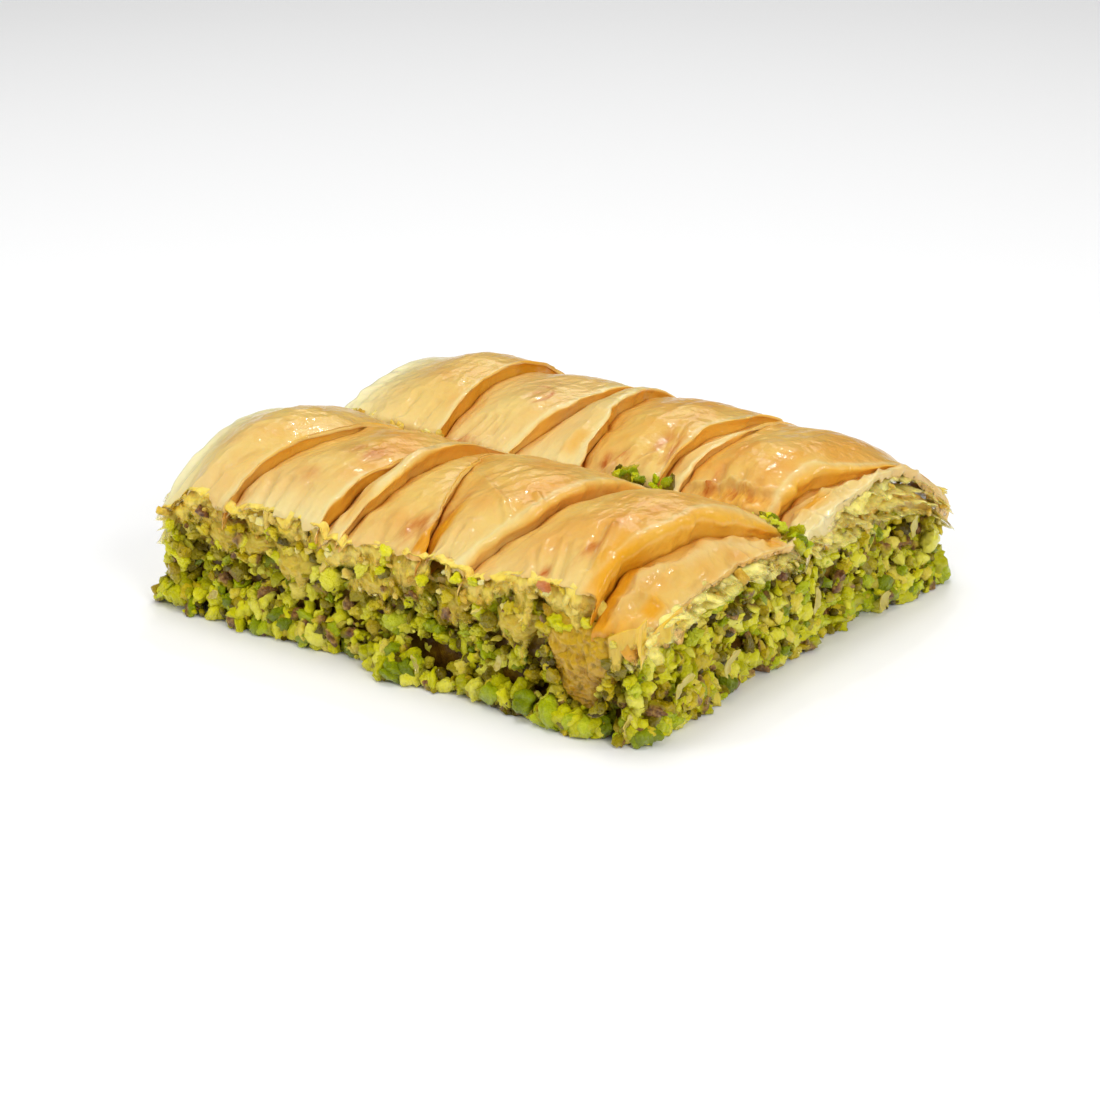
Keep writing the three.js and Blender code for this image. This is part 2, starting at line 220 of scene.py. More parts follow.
def row_height(row, kind, x, y):
    """Smooth top or seat of a row, turning into the ends' own profiles over their reach."""
    left = smooth((ROW_START + row["left"]["reach"] - x) / row["left"]["reach"])
    right = smooth((x - ROW_END + row["right"]["reach"]) / row["right"]["reach"])
    middle = arch_height(row, y, row[kind])
    at_left = arch_height(row, y, row["left"][kind])
    at_right = arch_height(row, y, row["right"][kind])
    return middle + (at_left - middle) * left + (at_right - middle) * right


def seat_height(x, y):
    """Seat of the row that lies over a place: the front one below Y 0, the back one above."""
    return np.where(y < 0, row_height(FRONT_ROW, "seat", x, y), row_height(BACK_ROW, "seat", x, y))


def bed_height(x, y):
    """Top of the nut mass: a little below the rows' seats, with a low ridge of nuts between the
    rows that falls off towards both ends."""
    ridge = GAP_RIDGE - RIDGE_FALL * smooth((np.abs(x) - 55) / 10)
    return np.where(np.abs(y) < GAP_HALF, ridge, seat_height(x, y) - BED_CLEARANCE)


def add_piece(name, points, faces, material, node, attributes=None, crease=None):
    """A mesh object from points in millimetres and equal-sized faces. It rides on the body and
    stands for a CAD node. Attributes are one number a point. Edges over crease degrees stay sharp."""
    mesh = bpy.data.meshes.new(name)
    points = np.asarray(points, np.float32).reshape(-1, 3)
    faces = np.asarray(faces, np.int32)
    count, size = faces.shape
    mesh.vertices.add(len(points))
    mesh.vertices.foreach_set("co", (points * MM).ravel())
    mesh.loops.add(count * size)
    mesh.loops.foreach_set("vertex_index", faces.ravel())
    mesh.polygons.add(count)
    mesh.polygons.foreach_set("loop_start", np.arange(0, count * size, size, dtype=np.int32))
    mesh.polygons.foreach_set("use_smooth", np.ones(count, bool))
    for label, values in (attributes or {}).items():
        data = mesh.attributes.new(label, "FLOAT", "POINT").data
        data.foreach_set("value", np.asarray(values, np.float32).ravel())
    mesh.update(calc_edges=True)
    if crease is not None:
        mesh.set_sharp_from_angle(angle=np.radians(crease))
    mesh.materials.append(material)
    piece = bpy.data.objects.new(name, mesh)
    bpy.context.scene.collection.objects.link(piece)
    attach(piece, "root")
    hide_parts(node)
    return piece


def grid_faces(rows, columns, wrap=False):
    """Quads of a grid of points, numbered row by row. wrap joins the last column to the first."""
    i, j = np.meshgrid(np.arange(rows - 1), np.arange(columns if wrap else columns - 1), indexing="ij")
    after = (j + 1) % columns
    quads = [i * columns + j, (i + 1) * columns + j, (i + 1) * columns + after, i * columns + after]
    return np.stack(quads, -1).reshape(-1, 4)


def bed_surface():
    """One loop round the bed's section, carried along X and drawn in to a point at both ends.
    Noise pushes its sides in and out along Y, and its ends along X."""
    along, over, beside, under = BED_POINTS
    draw_in = np.array([0.0, 0.2, 0.4, 0.6, 0.8, 0.92])
    cap = np.ones(len(draw_in))
    x = BED_HALF_LENGTH * np.concatenate([-cap, np.linspace(-1, 1, along), cap])
    scale = np.concatenate([draw_in, np.ones(along), draw_in[::-1]])
    half = BED_HALF_WIDTH
    top, bottom = np.linspace(-1, 1, over) * half, np.linspace(half, -half, under)
    y = np.concatenate([top, np.full(beside, half), bottom, np.full(beside, -half)])
    climb = np.linspace(0, 1, beside + 2)[1:-1]
    lift = np.concatenate([np.ones(over), 1 - climb, np.zeros(under), climb])
    grid_x, grid_y = np.meshgrid(x, y, indexing="ij")
    high = bed_height(np.clip(grid_x, -60, 60), grid_y)
    grid_z = BED_UNDERSIDE + (high - BED_UNDERSIDE) * lift
    lumps = 1.3 * lattice_noise(1, grid_x / 4.3, grid_y / 4.3, grid_z / 4.3)
    lumps = lumps + 0.7 * lattice_noise(2, grid_x / 1.7, grid_y / 1.7, grid_z / 1.7)
    on_side = smooth(np.abs(grid_y) - half + 1)
    drawn_y = (grid_y + np.sign(grid_y) * lumps * on_side) * scale[:, None]
    drawn_z = BED_MIDDLE + (grid_z - BED_MIDDLE) * scale[:, None]
    on_end = smooth((np.abs(grid_x) - BED_HALF_LENGTH + 2) / 2)
    end_lumps = 1.6 * lattice_noise(3, drawn_y / 4.1, drawn_z / 4.1) * on_end
    return np.stack([grid_x + np.sign(grid_x) * end_lumps, drawn_y, np.maximum(drawn_z, LOWEST)], -1)


def noise_texture(tree, size, coordinate, **settings):
    """Value of a procedural noise whose blots have a size in metres along the coordinates."""
    node = tree.nodes.new("ShaderNodeTexNoise")
    node.inputs["Scale"].default_value = 1 / size
    for socket, value in settings.items():
        node.inputs[socket].default_value = value
    tree.links.new(coordinate, node.inputs["Vector"])
    return node.outputs["Fac"]


def object_coordinate(tree, stretch=(1, 1, 1), turn=0.0):
    """The piece's own coordinates, drawn out by a stretch along each axis and turned about Z."""
    source = tree.nodes.new("ShaderNodeTexCoord")
    mapping = tree.nodes.new("ShaderNodeMapping")
    mapping.inputs["Scale"].default_value = [1 / s for s in stretch]
    mapping.inputs["Rotation"].default_value = (0, 0, turn)
    tree.links.new(source.outputs["Object"], mapping.inputs["Vector"])
    return mapping.outputs["Vector"]


def attribute(tree, name):
    """The number that each point of the piece carries under a name."""
    node = tree.nodes.new("ShaderNodeAttribute")
    node.attribute_name = name
    return node.outputs["Fac"]


def ramp(tree, value, stops):
    """Colours or greys at stops along a value from 0 to 1."""
    node = tree.nodes.new("ShaderNodeValToRGB")
    elements = node.color_ramp.elements
    while len(elements) < len(stops):
        elements.new(0.5)
    for element, (place, color) in zip(elements, stops):
        element.position = place
        element.color = color if np.ndim(color) else (color, color, color, 1)
    tree.links.new(value, node.inputs["Fac"])
    return node.outputs["Color"]


def plug(tree, value, socket):
    """Links another node's output to a socket, or sets the socket to a plain value."""
    if isinstance(value, bpy.types.NodeSocket):
        tree.links.new(value, socket)
    else:
        socket.default_value = value


def mixed(tree, share, first, second):
    """Colour first turned into second by a share. Each may be a plain value or a socket."""
    node = tree.nodes.new("ShaderNodeMix")
    node.data_type = "RGBA"
    for socket, value in zip(("Factor_Float", "A_Color", "B_Color"), (share, first, second)):
        plug(tree, value, next(i for i in node.inputs if i.identifier == socket))
    return next(o for o in node.outputs if o.identifier == "Result_Color")


def math_node(tree, operation, *values, clamp=False):
    """One sum on two or three numbers or sockets."""
    node = tree.nodes.new("ShaderNodeMath")
    node.operation = operation
    node.use_clamp = clamp
    for place, value in enumerate(values):
        plug(tree, value, node.inputs[place])
    return node.outputs["Value"]


def bump(tree, shader, socket, height, depth, strength=1.0):
    """Fine relief for a shader's Normal or Coat Normal: a height from 0 to 1 that stands for a
    depth in metres. The syrup over a piece is smoother, so its coat has less of it."""
    node = tree.nodes.new("ShaderNodeBump")
    node.inputs["Distance"].default_value = depth
    node.inputs["Strength"].default_value = strength
    tree.links.new(height, node.inputs["Height"])
    tree.links.new(node.outputs["Normal"], shader.inputs[socket])


def soaked_mass_material():
    """Dark olive-brown paste of ground nut and syrup, with paler lumps, and tan near the pastry. Its
    dark is partly the paste's own colour and partly painted shade in the hollows between the nuts.
    """
    material, tree, shader = new_material(
        "soaked_nut_mass", linear(90, 80, 20), 0.4,
        Specular_IOR_Level=0.15, Coat_Weight=0.4, Coat_Roughness=0.08,
    )
    coordinate = object_coordinate(tree)
    lumps = noise_texture(tree, 0.003, coordinate, Detail=6.0, Roughness=0.6)
    # The dark paste is partly its own colour and partly painted shade between the nuts.
    dark_stops = [(0.3, linear(62, 34, 8)), (0.5, linear(96, 64, 10)), (0.7, linear(132, 108, 14))]
    tan_stops = [(0.3, linear(128, 98, 14)), (0.5, linear(180, 146, 36)), (0.7, linear(212, 182, 66))]
    dark, tan = ramp(tree, lumps, dark_stops), ramp(tree, lumps, tan_stops)
    tree.links.new(mixed(tree, attribute(tree, "high"), dark, tan), shader.inputs["Base Color"])
    grit = noise_texture(tree, 0.0009, coordinate, Detail=5.0)
    bump(tree, shader, "Normal", grit, 0.0006)
    bump(tree, shader, "Coat Normal", grit, 0.0006, 0.25)
    return material


bed_points = bed_surface()
add_piece(
    "soaked_nut_bed", bed_points, grid_faces(*bed_points.shape[:2], wrap=True),
    soaked_mass_material(), "pistachio_filling",
    {"high": smooth((bed_points[..., 2] - TAN_FROM) / TAN_RISE)},
)


# ---------------------------------------------------------------------------------------
# Chopped pistachios: knife-cut pieces of 1 to 6 mm, pressed into the open sides of the bed and
# held by syrup. Most are yellow-green inside, some olive and soaked, and some keep a patch of
# brown-pink skin. A side is a wall that flares to a wavy foot line: X or Y along it, and out.
NUT_SEED = 4127
FRONT_FOOT = [(-70, 58), (-62, 60.2), (-43, 58.6), (-25, 57.5), (-13, 56.8), (3, 61), (19, 58.6),
              (36, 60), (51, 60.2), (62, 57.5), (70, 55)]
RIGHT_FOOT = [(-62, 63), (-48, 66.4), (-24, 64.4), (-13, 63.2), (-4, 64.8), (22, 62.9), (31, 63.7),
              (41, 67), (60, 66.7)]
BACK_FOOT = [(-66, 59), (-40, 57.5), (-18, 60), (5, 57.8), (30, 60), (52, 58.4), (66, 59.5)]
LEFT_FOOT = [(-60, 68), (-50, 67), (-38, 64.5), (-14, 66), (6, 63.6), (30, 66.2), (48, 64.2), (60, 66)]
SIDES = {
    "front": {"foot": FRONT_FOOT, "wall": 56.2, "half": 65.0, "normal": (0, -1)},
    "right": {"foot": RIGHT_FOOT, "wall": 64.4, "half": 57.5, "normal": (1, 0)},
    "back": {"foot": BACK_FOOT, "wall": 56.2, "half": 65.0, "normal": (0, 1)},
    "left": {"foot": LEFT_FOOT, "wall": 64.4, "half": 57.5, "normal": (-1, 0)},
}
# Pools of dark syrup where nuts have fallen away from the front: X, height and half lengths.
SYRUP_POOLS = [
    (56.5, 5.8, 5.0, 3.4), (12.5, 7.2, 7.5, 1.9), (-24, 9.5, 3.5, 1.6), (-56, 9.5, 3.2, 2.0),
    (33, 6.5, 3.0, 2.4),
]
POOL_DEPTH = 5.0
WORN_EDGE_POWER = 7
GROOVE_DEPTH, GROOVE_HALF = 0.25, 0.16
SHARP_ANGLE = 60


def ball(parts):
    """Points on a sphere and its triangles: an icosahedron, each edge cut in a number of parts."""
    golden = (1 + 5 ** 0.5) / 2
    ring = np.array([(0, a, b * golden) for a in (-1, 1) for b in (-1, 1)], float)
    corners = np.concatenate([np.roll(ring, shift, axis=1) for shift in range(3)])
    near = np.linalg.norm(corners[:, None] - corners[None], axis=2)
    triples = [
        (a, b, c) for a in range(12) for b in range(a + 1, 12) for c in range(b + 1, 12)
        if max(near[a, b], near[b, c], near[a, c]) < 2.1
    ]
    steps = [(i, j) for i in range(parts + 1) for j in range(parts + 1 - i)]
    number = {step: place for place, step in enumerate(steps)}
    up = [(number[i, j], number[i + 1, j], number[i, j + 1]) for i, j in steps if i + j < parts]
    down = [(number[i + 1, j], number[i + 1, j + 1], number[i, j + 1]) for i, j in steps if i + j < parts - 1]
    i, j = np.array(steps).T / parts
    points = np.concatenate([
        corners[a] + i[:, None] * (corners[b] - corners[a]) + j[:, None] * (corners[c] - corners[a])
        for a, b, c in triples
    ])
    faces = np.concatenate([np.array(up + down) + side * len(steps) for side in range(len(triples))])
    points, index = np.unique(np.round(points, 6), axis=0, return_inverse=True)
    faces = index.reshape(-1)[faces]
    points /= np.linalg.norm(points, axis=1)[:, None]
    a, b, c = (points[faces[:, corner]] for corner in range(3))
    inward = np.einsum("ij,ij->i", np.cross(b - a, c - a), a) < 0
    faces[inward] = faces[inward][:, ::-1]
    return points, faces


def chopped_shapes(rng, count, parts, cuts, rough=0.0):
    """Lumps cut by random planes with worn edges: one over the seventh root of the summed seventh
    powers of 1 and of each plane's nearness. Noise folded up at 0 makes them granular, and half
    of them have a groove along their middle, where the halves of a kernel meet."""
    directions, faces = ball(parts)
    planes = rng.normal(size=(count, cuts, 3))
    planes /= np.linalg.norm(planes, axis=2, keepdims=True)
    distance = rng.uniform(0.5, 0.9, (count, 1, cuts))
    facing = np.einsum("vk,nck->nvc", directions, planes)
    nearness = (np.maximum(facing, 0) / distance) ** WORN_EDGE_POWER
    radius = (1 + nearness.sum(axis=2)) ** (-1 / WORN_EDGE_POWER)
    shift = 10 * np.arange(count)[:, None]
    broad, fine = ([directions[None, :, axis] * pitch + shift for axis in range(3)] for pitch in (1.7, 3.4))
    grains = np.abs(lattice_noise(5, *broad)) + 0.5 * np.abs(lattice_noise(6, *fine))
    radius = radius * (1 + rough * (grains - 0.4))
    groove = np.exp(-(facing[..., 0] / GROOVE_HALF) ** 2) * rng.choice([0, GROOVE_DEPTH], (count, 1))
    radius = radius * (1 - groove) * rng.uniform(0.97, 1.03, radius.shape)
    return directions[None] * radius[..., None], directions, faces


def random_turns(rng, count):
    """Rotation matrices spread evenly over all directions, from random unit quaternions."""
    quaternions = rng.normal(size=(4, count))
    w, x, y, z = quaternions / np.linalg.norm(quaternions, axis=0)
    return np.stack([
        1 - 2 * (y * y + z * z), 2 * (x * y - z * w), 2 * (x * z + y * w),
        2 * (x * y + z * w), 1 - 2 * (x * x + z * z), 2 * (y * z - x * w),
        2 * (x * z - y * w), 2 * (y * z + x * w), 1 - 2 * (x * x + y * y),
    ], -1).reshape(count, 3, 3)


def scatter_lumps(name, rng, shapes, places, sizes, stretch, skin_share, material,
                  node="pistachio_filling", crease=SHARP_ANGLE):
    """Puts one randomly chosen, stretched and turned lump at each place. tone is one random
    number a lump, and skin is 1 on the side of a lump that still has its skin."""
    outlines, directions, faces = shapes
    count = len(places)
    chosen = outlines[rng.integers(len(outlines), size=count)]
    axes = np.exp(rng.normal(0, stretch, (count, 1, 3)))
    turned = np.einsum("nij,nvj->nvi", random_turns(rng, count), chosen * axes * sizes[:, None, None])
    points = turned + places[:, None]
    points[..., 2] = np.maximum(points[..., 2], 0.15)
    skin_axis = rng.normal(size=(count, 3))
    skin_axis /= np.linalg.norm(skin_axis, axis=1, keepdims=True)
    has_skin = rng.random(count) < skin_share
    facing = np.einsum("vk,nk->nv", directions, skin_axis)
    skin = smooth((facing - 0.1) / 0.35) * has_skin[:, None]
    tone = np.repeat(rng.random(count), len(directions))
    offsets = np.arange(count)[:, None, None] * len(directions)
    add_piece(
        name, points, (faces[None] + offsets).reshape(-1, 3), material, node,
        {"tone": tone, "skin": skin}, crease=crease,
    )


def skirt_bottom(row, x):
    """Ragged lowest edge of the pastry that hangs over a row's outer side."""
    ragged = 1.1 * np.sin(0.71 * x) + 0.8 * np.sin(1.93 * x + 1)
    across = (x - LOBE_X) / LOBE_HALF
    lobe = row["lobe_depth"] * np.maximum(0, 1 - across * across) ** 0.7
    wall = row["outer"] - row["side"] * SKIRT_WALL
    return np.minimum(row["skirt"], row_height(row, "seat", x, wall) - 2.5) + ragged - lobe


def ceiling(side, along):
    """Highest place for a nut on a side: the skirt on the long sides, the seat on the ends."""
    if side in ("front", "back"):
        row = FRONT_ROW if side == "front" else BACK_ROW
        under_fold = row_height(row, "top", along, row["outer"]) - 2.0
        return np.minimum(skirt_bottom(row, along) + 5.5, under_fold)
    y = np.clip(along, FRONT_ROW["outer"], BACK_ROW["outer"])
    seat = seat_height(ROW_END if side == "right" else ROW_START, y)
    return np.where(np.abs(y) < 5, 27.5, seat) + 0.6


def side_places(rng, side, count, radius, depth, reach=1.0):
    """Random places on a side, up to a share of its height. The wall flares to its foot line
    below 8 mm, is hollowed a little above that, and slow noise gathers the nuts in clumps."""
    shape = SIDES[side]
    along = rng.uniform(-shape["half"], shape["half"], count)
    top = ceiling(side, along) * reach
    z = np.clip(top * rng.random(count), 0.72 * radius, np.maximum(top - radius, 0.72 * radius))
    foot = np.interp(along, *zip(*shape["foot"]))
    flare = 1 - smooth((z - 2.5) / 7.0)
    out = shape["wall"] + (foot - shape["wall"]) * flare - 0.3 * np.exp(-((z - 10.5) / 2.6) ** 2)
    out = out + 1.5 * lattice_noise(ord(side[0]), along / 7.0, z / 5.5) - radius * 0.75
    out = out - depth * rng.random(count)
    if side == "front":
        for x, height, half_x, half_z in SYRUP_POOLS:
            out = out - POOL_DEPTH * (((along - x) / half_x) ** 2 + ((z - height) / half_z) ** 2 < 1)
    nx, ny = shape["normal"]
    return np.stack([nx * out + abs(ny) * along, ny * out + abs(nx) * along, z], -1)


def scatter_on_sides(name, shapes, material, count, radii, bias, depth, stretch, skin_share,
                     reach=1.0, crease=SHARP_ANGLE):
    """Lumps on all four sides, a count on each. Their radii run between two sizes, and a bias
    above 1 makes the small ones more common."""
    small, large = radii
    radius = [small + (large - small) * nut_rng.random(count) ** bias for _ in SIDES]
    places = [side_places(nut_rng, side, count, r, depth, reach) for side, r in zip(SIDES, radius)]
    scatter_lumps(
        name, nut_rng, shapes, np.concatenate(places), np.concatenate(radius), stretch, skin_share, material,
        crease=crease,
    )


def nut_material(name, roughness, *colors):
    """Moist cut nut: four screen colours from dark to pale, one for each piece by its tone, mottled
    by noise, with brown-pink skin where skin is 1, fine crumbly relief and a wet coat."""
    cut_stops = [(place, linear(*color)) for place, color in zip((0.0, 0.35, 0.7, 1.0), colors)]
    material, tree, shader = new_material(
        name, cut_stops[1][1], roughness, Specular_IOR_Level=0.3, Coat_Weight=0.7, Coat_Roughness=0.05,
        Subsurface_Weight=0.3, Subsurface_Scale=0.001, Subsurface_Radius=(0.9, 1.0, 0.1),
    )
    coordinate = object_coordinate(tree)
    mottle = noise_texture(tree, 0.0016, coordinate, Detail=5.0, Roughness=0.6)
    spread = math_node(tree, "MULTIPLY_ADD", mottle, 0.9, -0.45)
    tone = math_node(tree, "ADD", attribute(tree, "tone"), spread, clamp=True)
    cut = ramp(tree, tone, cut_stops)
    skin_noise = noise_texture(tree, 0.001, coordinate, Detail=4.0)
    skin_stops = [(0.35, linear(96, 50, 36)), (0.5, linear(140, 92, 54)), (0.65, linear(184, 140, 76))]
    skin_share = math_node(tree, "MULTIPLY", attribute(tree, "skin"), 0.92)
    color = mixed(tree, skin_share, cut, ramp(tree, skin_noise, skin_stops))
    tree.links.new(color, shader.inputs["Base Color"])
    crumb = noise_texture(tree, 0.0007, coordinate, Detail=4.0, Roughness=0.65)
    bump(tree, shader, "Normal", crumb, 0.0008)
    bump(tree, shader, "Coat Normal", crumb, 0.0008, 0.5)
    return material


bright_nut = nut_material(
    "bright_pistachio", 0.36, (178, 174, 0), (212, 208, 4), (232, 224, 30), (240, 232, 90),
)
golden_nut = nut_material(
    "golden_pistachio", 0.36, (164, 140, 2), (206, 180, 10), (228, 206, 40), (238, 218, 90),
)
olive_nut = nut_material(
    "olive_pistachio", 0.34, (74, 60, 0), (122, 106, 0), (166, 150, 8), (198, 182, 40),
)
green_nut = nut_material(
    "green_pistachio", 0.32, (112, 126, 0), (152, 166, 0), (188, 198, 8), (214, 218, 50),
)

nut_rng = np.random.default_rng(NUT_SEED)
# Four sets of lumps: count, parts of an edge, cuts and roughness.
nut_shapes = chopped_shapes(nut_rng, 90, 4, 6, 0.55)
foot_shapes = chopped_shapes(nut_rng, 40, 5, 4, 0.42)
chip_shapes = chopped_shapes(nut_rng, 50, 2, 5, 0.4)
crumb_shapes = chopped_shapes(nut_rng, 24, 1, 4)
NUT_KINDS = [
    # piece, material, nuts on a side, radius from and to, depth into the bed, share with skin
    ("olive_nuts", olive_nut, 130, (1.5, 2.9), 3.2, 0.3),
    ("golden_nuts", golden_nut, 80, (1.3, 2.6), 1.3, 0.15),
    ("bright_nuts", bright_nut, 150, (1.4, 2.7), 1.0, 0.06),
    ("green_nuts", green_nut, 90, (1.4, 2.7), 1.6, 0.15),
]
for name, material, count, radii, depth, skin_share in NUT_KINDS:
    scatter_on_sides(name, nut_shapes, material, count, radii, 1.7, depth, 0.24, skin_share)


# ---------------------------------------------------------------------------------------
# Large nuts at the foot: pieces that broke off when the block was cut and rolled down its sides.
# They are rounder and less crumbly than the rest, and lie in the lowest third of each side.
FOOT_KINDS = [
    # piece, material, nuts on a side
    ("foot_nuts_bright", bright_nut, 30), ("foot_nuts_green", green_nut, 20),
    ("foot_nuts_golden", golden_nut, 12),
]
for name, material, count in FOOT_KINDS:
    scatter_on_sides(
        name, foot_shapes, material, count, (1.9, 3.0), 1.0, 0.3, 0.22, 0.2, reach=0.3, crease=None,
    )


# ---------------------------------------------------------------------------------------
# Nuts stuck in the hanging pastry: pieces that the knife dragged up over the soaked rags of
# both outer sides, where syrup glued them. They lie lower towards the ends of a row.
STUCK_KINDS = [
    # piece, material, nuts on a side
    ("stuck_nuts_bright", bright_nut, 26), ("stuck_nuts_golden", golden_nut, 36),
    ("stuck_nuts_olive", olive_nut, 12),
]
STUCK_OUT, STUCK_LOW, STUCK_HIGH = 58.3, 17.0, 25.5
STUCK_CEILINGS = (25.0, 22.5)
for name, material, count in STUCK_KINDS:
    radius = nut_rng.uniform(0.8, 2.0, 2 * count)
    along = nut_rng.uniform(-64, 64, 2 * count)
    out = np.repeat([-1, 1], count) * (STUCK_OUT - 0.45 * radius)
    high = np.minimum(nut_rng.uniform(STUCK_LOW, STUCK_HIGH, 2 * count), np.where(out < 0, *STUCK_CEILINGS))
    high = high - 5.0 * smooth((-52 - along) / 10) - 5.0 * smooth((along - 52) / 10)
    scatter_lumps(name, nut_rng, nut_shapes, np.stack([along, out, high], -1), radius, 0.25, 0.2, material)


# ---------------------------------------------------------------------------------------
# Strays: a few bright nuts that syrup holds on the front of the pastry, and one thin flake of
# the kernel's red skin among them. Each is X, height and radius.
STRAY_NUTS = [
    (10.8, 24.3, 1.7), (20.6, 26.6, 1.5), (1.5, 28.4, 1.3), (46.5, 22.8, 1.3), (0, 23.5, 1.2),
    (24.5, 27, 1.1),
]
STRAY_Y = -59.0
SKIN_FLAKE_PLACE, SKIN_FLAKE_RADIUS = (43.0, -59.3, 30.2), 1.6
stray_x, stray_z, stray_radius = np.array(STRAY_NUTS).T
stray_places = np.stack([stray_x, np.full(len(stray_x), STRAY_Y), stray_z], -1)
scatter_lumps("stray_nuts", nut_rng, nut_shapes, stray_places, stray_radius, 0.15, 0.0, bright_nut)
red_skin = nut_material(
    "red_pistachio_skin", 0.34, (158, 74, 26), (196, 104, 48), (218, 136, 74), (236, 184, 120),
)
scatter_lumps(
    "red_skin_flake", nut_rng, nut_shapes, np.array([SKIN_FLAKE_PLACE]), np.array([SKIN_FLAKE_RADIUS]),
    0.2, 0.0, red_skin,
)


# ---------------------------------------------------------------------------------------
# Nuts round the near corner: the largest pieces, which rolled out along the foot of the front
# and lie against it one beside the other, but for the place where a pool of syrup shows.
CORNER_NUTS = 18
FIRST_POOL_X, POOL_KEPT_CLEAR = SYRUP_POOLS[0][0], 3.8
corner_along = np.concatenate([np.linspace(24, 42, 5), np.linspace(42, 64, CORNER_NUTS - 5)])
corner_along = corner_along + nut_rng.uniform(-1, 1, CORNER_NUTS)
corner_radius = nut_rng.uniform(2.1, 3.1, CORNER_NUTS)
corner_y = -np.interp(corner_along, *zip(*FRONT_FOOT)) - 0.3 + 0.6 * corner_radius
corner_high = corner_radius * nut_rng.uniform(0.7, 1.5, CORNER_NUTS)
corner_places = np.stack([corner_along, corner_y, corner_high], -1)
beside_pool = np.flatnonzero(np.abs(corner_along - FIRST_POOL_X) > POOL_KEPT_CLEAR)
for name, material, first in (("corner_nuts_bright", bright_nut, 0), ("corner_nuts_green", green_nut, 1)):
    chosen = beside_pool[first::2]
    scatter_lumps(
        name, nut_rng, foot_shapes, corner_places[chosen], corner_radius[chosen], 0.15, 0.15, material,
        crease=None,
    )


# ---------------------------------------------------------------------------------------
# Chips and crumbs: splinters and meal from the chopping, which fill the hollows between the
# nuts on every side and cling to them with syrup.
SMALL_KINDS = [
    # piece, lumps, material, pieces on a side, radius from and to, stretch, share with skin
    ("bright_chips", chip_shapes, bright_nut, 150, (0.9, 1.7), 0.34, 0.2),
    ("olive_chips", chip_shapes, olive_nut, 160, (0.9, 1.7), 0.34, 0.2),
    ("golden_chips", chip_shapes, golden_nut, 90, (0.9, 1.7), 0.34, 0.2),
    ("bright_crumbs", crumb_shapes, bright_nut, 220, (0.45, 1.0), 0.3, 0.1),
    ("olive_crumbs", crumb_shapes, olive_nut, 260, (0.45, 1.0), 0.3, 0.1),
]
SMALL_DEPTH = 1.6
for name, shapes, material, count, radii, stretch, skin_share in SMALL_KINDS:
    scatter_on_sides(name, shapes, material, count, radii, 1.0, SMALL_DEPTH, stretch, skin_share)


# ---------------------------------------------------------------------------------------
# Nuts in the gap between the rows: the filling wells up there when the rows are pressed side by
# side, and shows in small clusters. Each cluster is X, spread and number of nuts.
GAP_CLUSTERS = [(21, 4, 16), (29, 3, 5), (50, 4, 9), (57, 4, 14), (64, 3, 12)]
GAP_NUT_LOW, GAP_NUT_HIGH = 29.0, 31.0
gap_places = np.concatenate([
    np.stack([
        nut_rng.normal(x, spread / 2, number), nut_rng.uniform(-1.8, 1.8, number),
        nut_rng.uniform(GAP_NUT_LOW, GAP_NUT_HIGH, number) + 1.2 * (x < 35) - 1.2 * (x > 45) - 2.0 * (x > 60),
    ], -1)
    for x, spread, number in GAP_CLUSTERS
])
gap_sizes = nut_rng.uniform(0.9, 2.0, len(gap_places))
GAP_KINDS = [
    # piece, material, first nut and step through the clusters
    ("gap_nuts_green", green_nut, 0, 2), ("gap_nuts_olive", olive_nut, 1, 4),
    ("gap_nuts_bright", bright_nut, 3, 4),
]
for name, material, first, step in GAP_KINDS:
    chosen = slice(first, None, step)
    scatter_lumps(name, nut_rng, nut_shapes, gap_places[chosen], gap_sizes[chosen], 0.28, 0.15, material)


# ---------------------------------------------------------------------------------------
# Pleated phyllo: thin sheets of dough, gathered into folds that lie over each other along
# the row, baked golden and soaked in clear syrup. Each fold is one sheet: it comes out from
# under the lip before it, runs over the row and turns under in a lip of its own.
SHEET_THICKNESS = 0.25
# Share of the step at a lip by which the fold before it stands above the row's own arch.
LIP_SHARE = 0.4
# How far a fold runs back under the lip before it, and under its own lip.
TUCK_RUN, RETURN_RUN = 4.0, 3.0
# Length, slope at the edge and widest bend of the brims that hang down at a row's edges.
OUTER_BRIM, GAP_BRIM = 1.4, 3.2
OUTER_SLOPE, GAP_SLOPE, HANGING_SLOPE = np.radians([35, 36, 86])
BRIM_BEND = 2.5
# Spacing of the points over the top of a fold, and the fewest and most of them.
TOP_STEP, TOP_LEAST, TOP_MOST = 0.5, 16, 64
# How much lower a wrinkled sheet lies, so that its wrinkles rise and fall about the arch.
SETTLED = 0.4
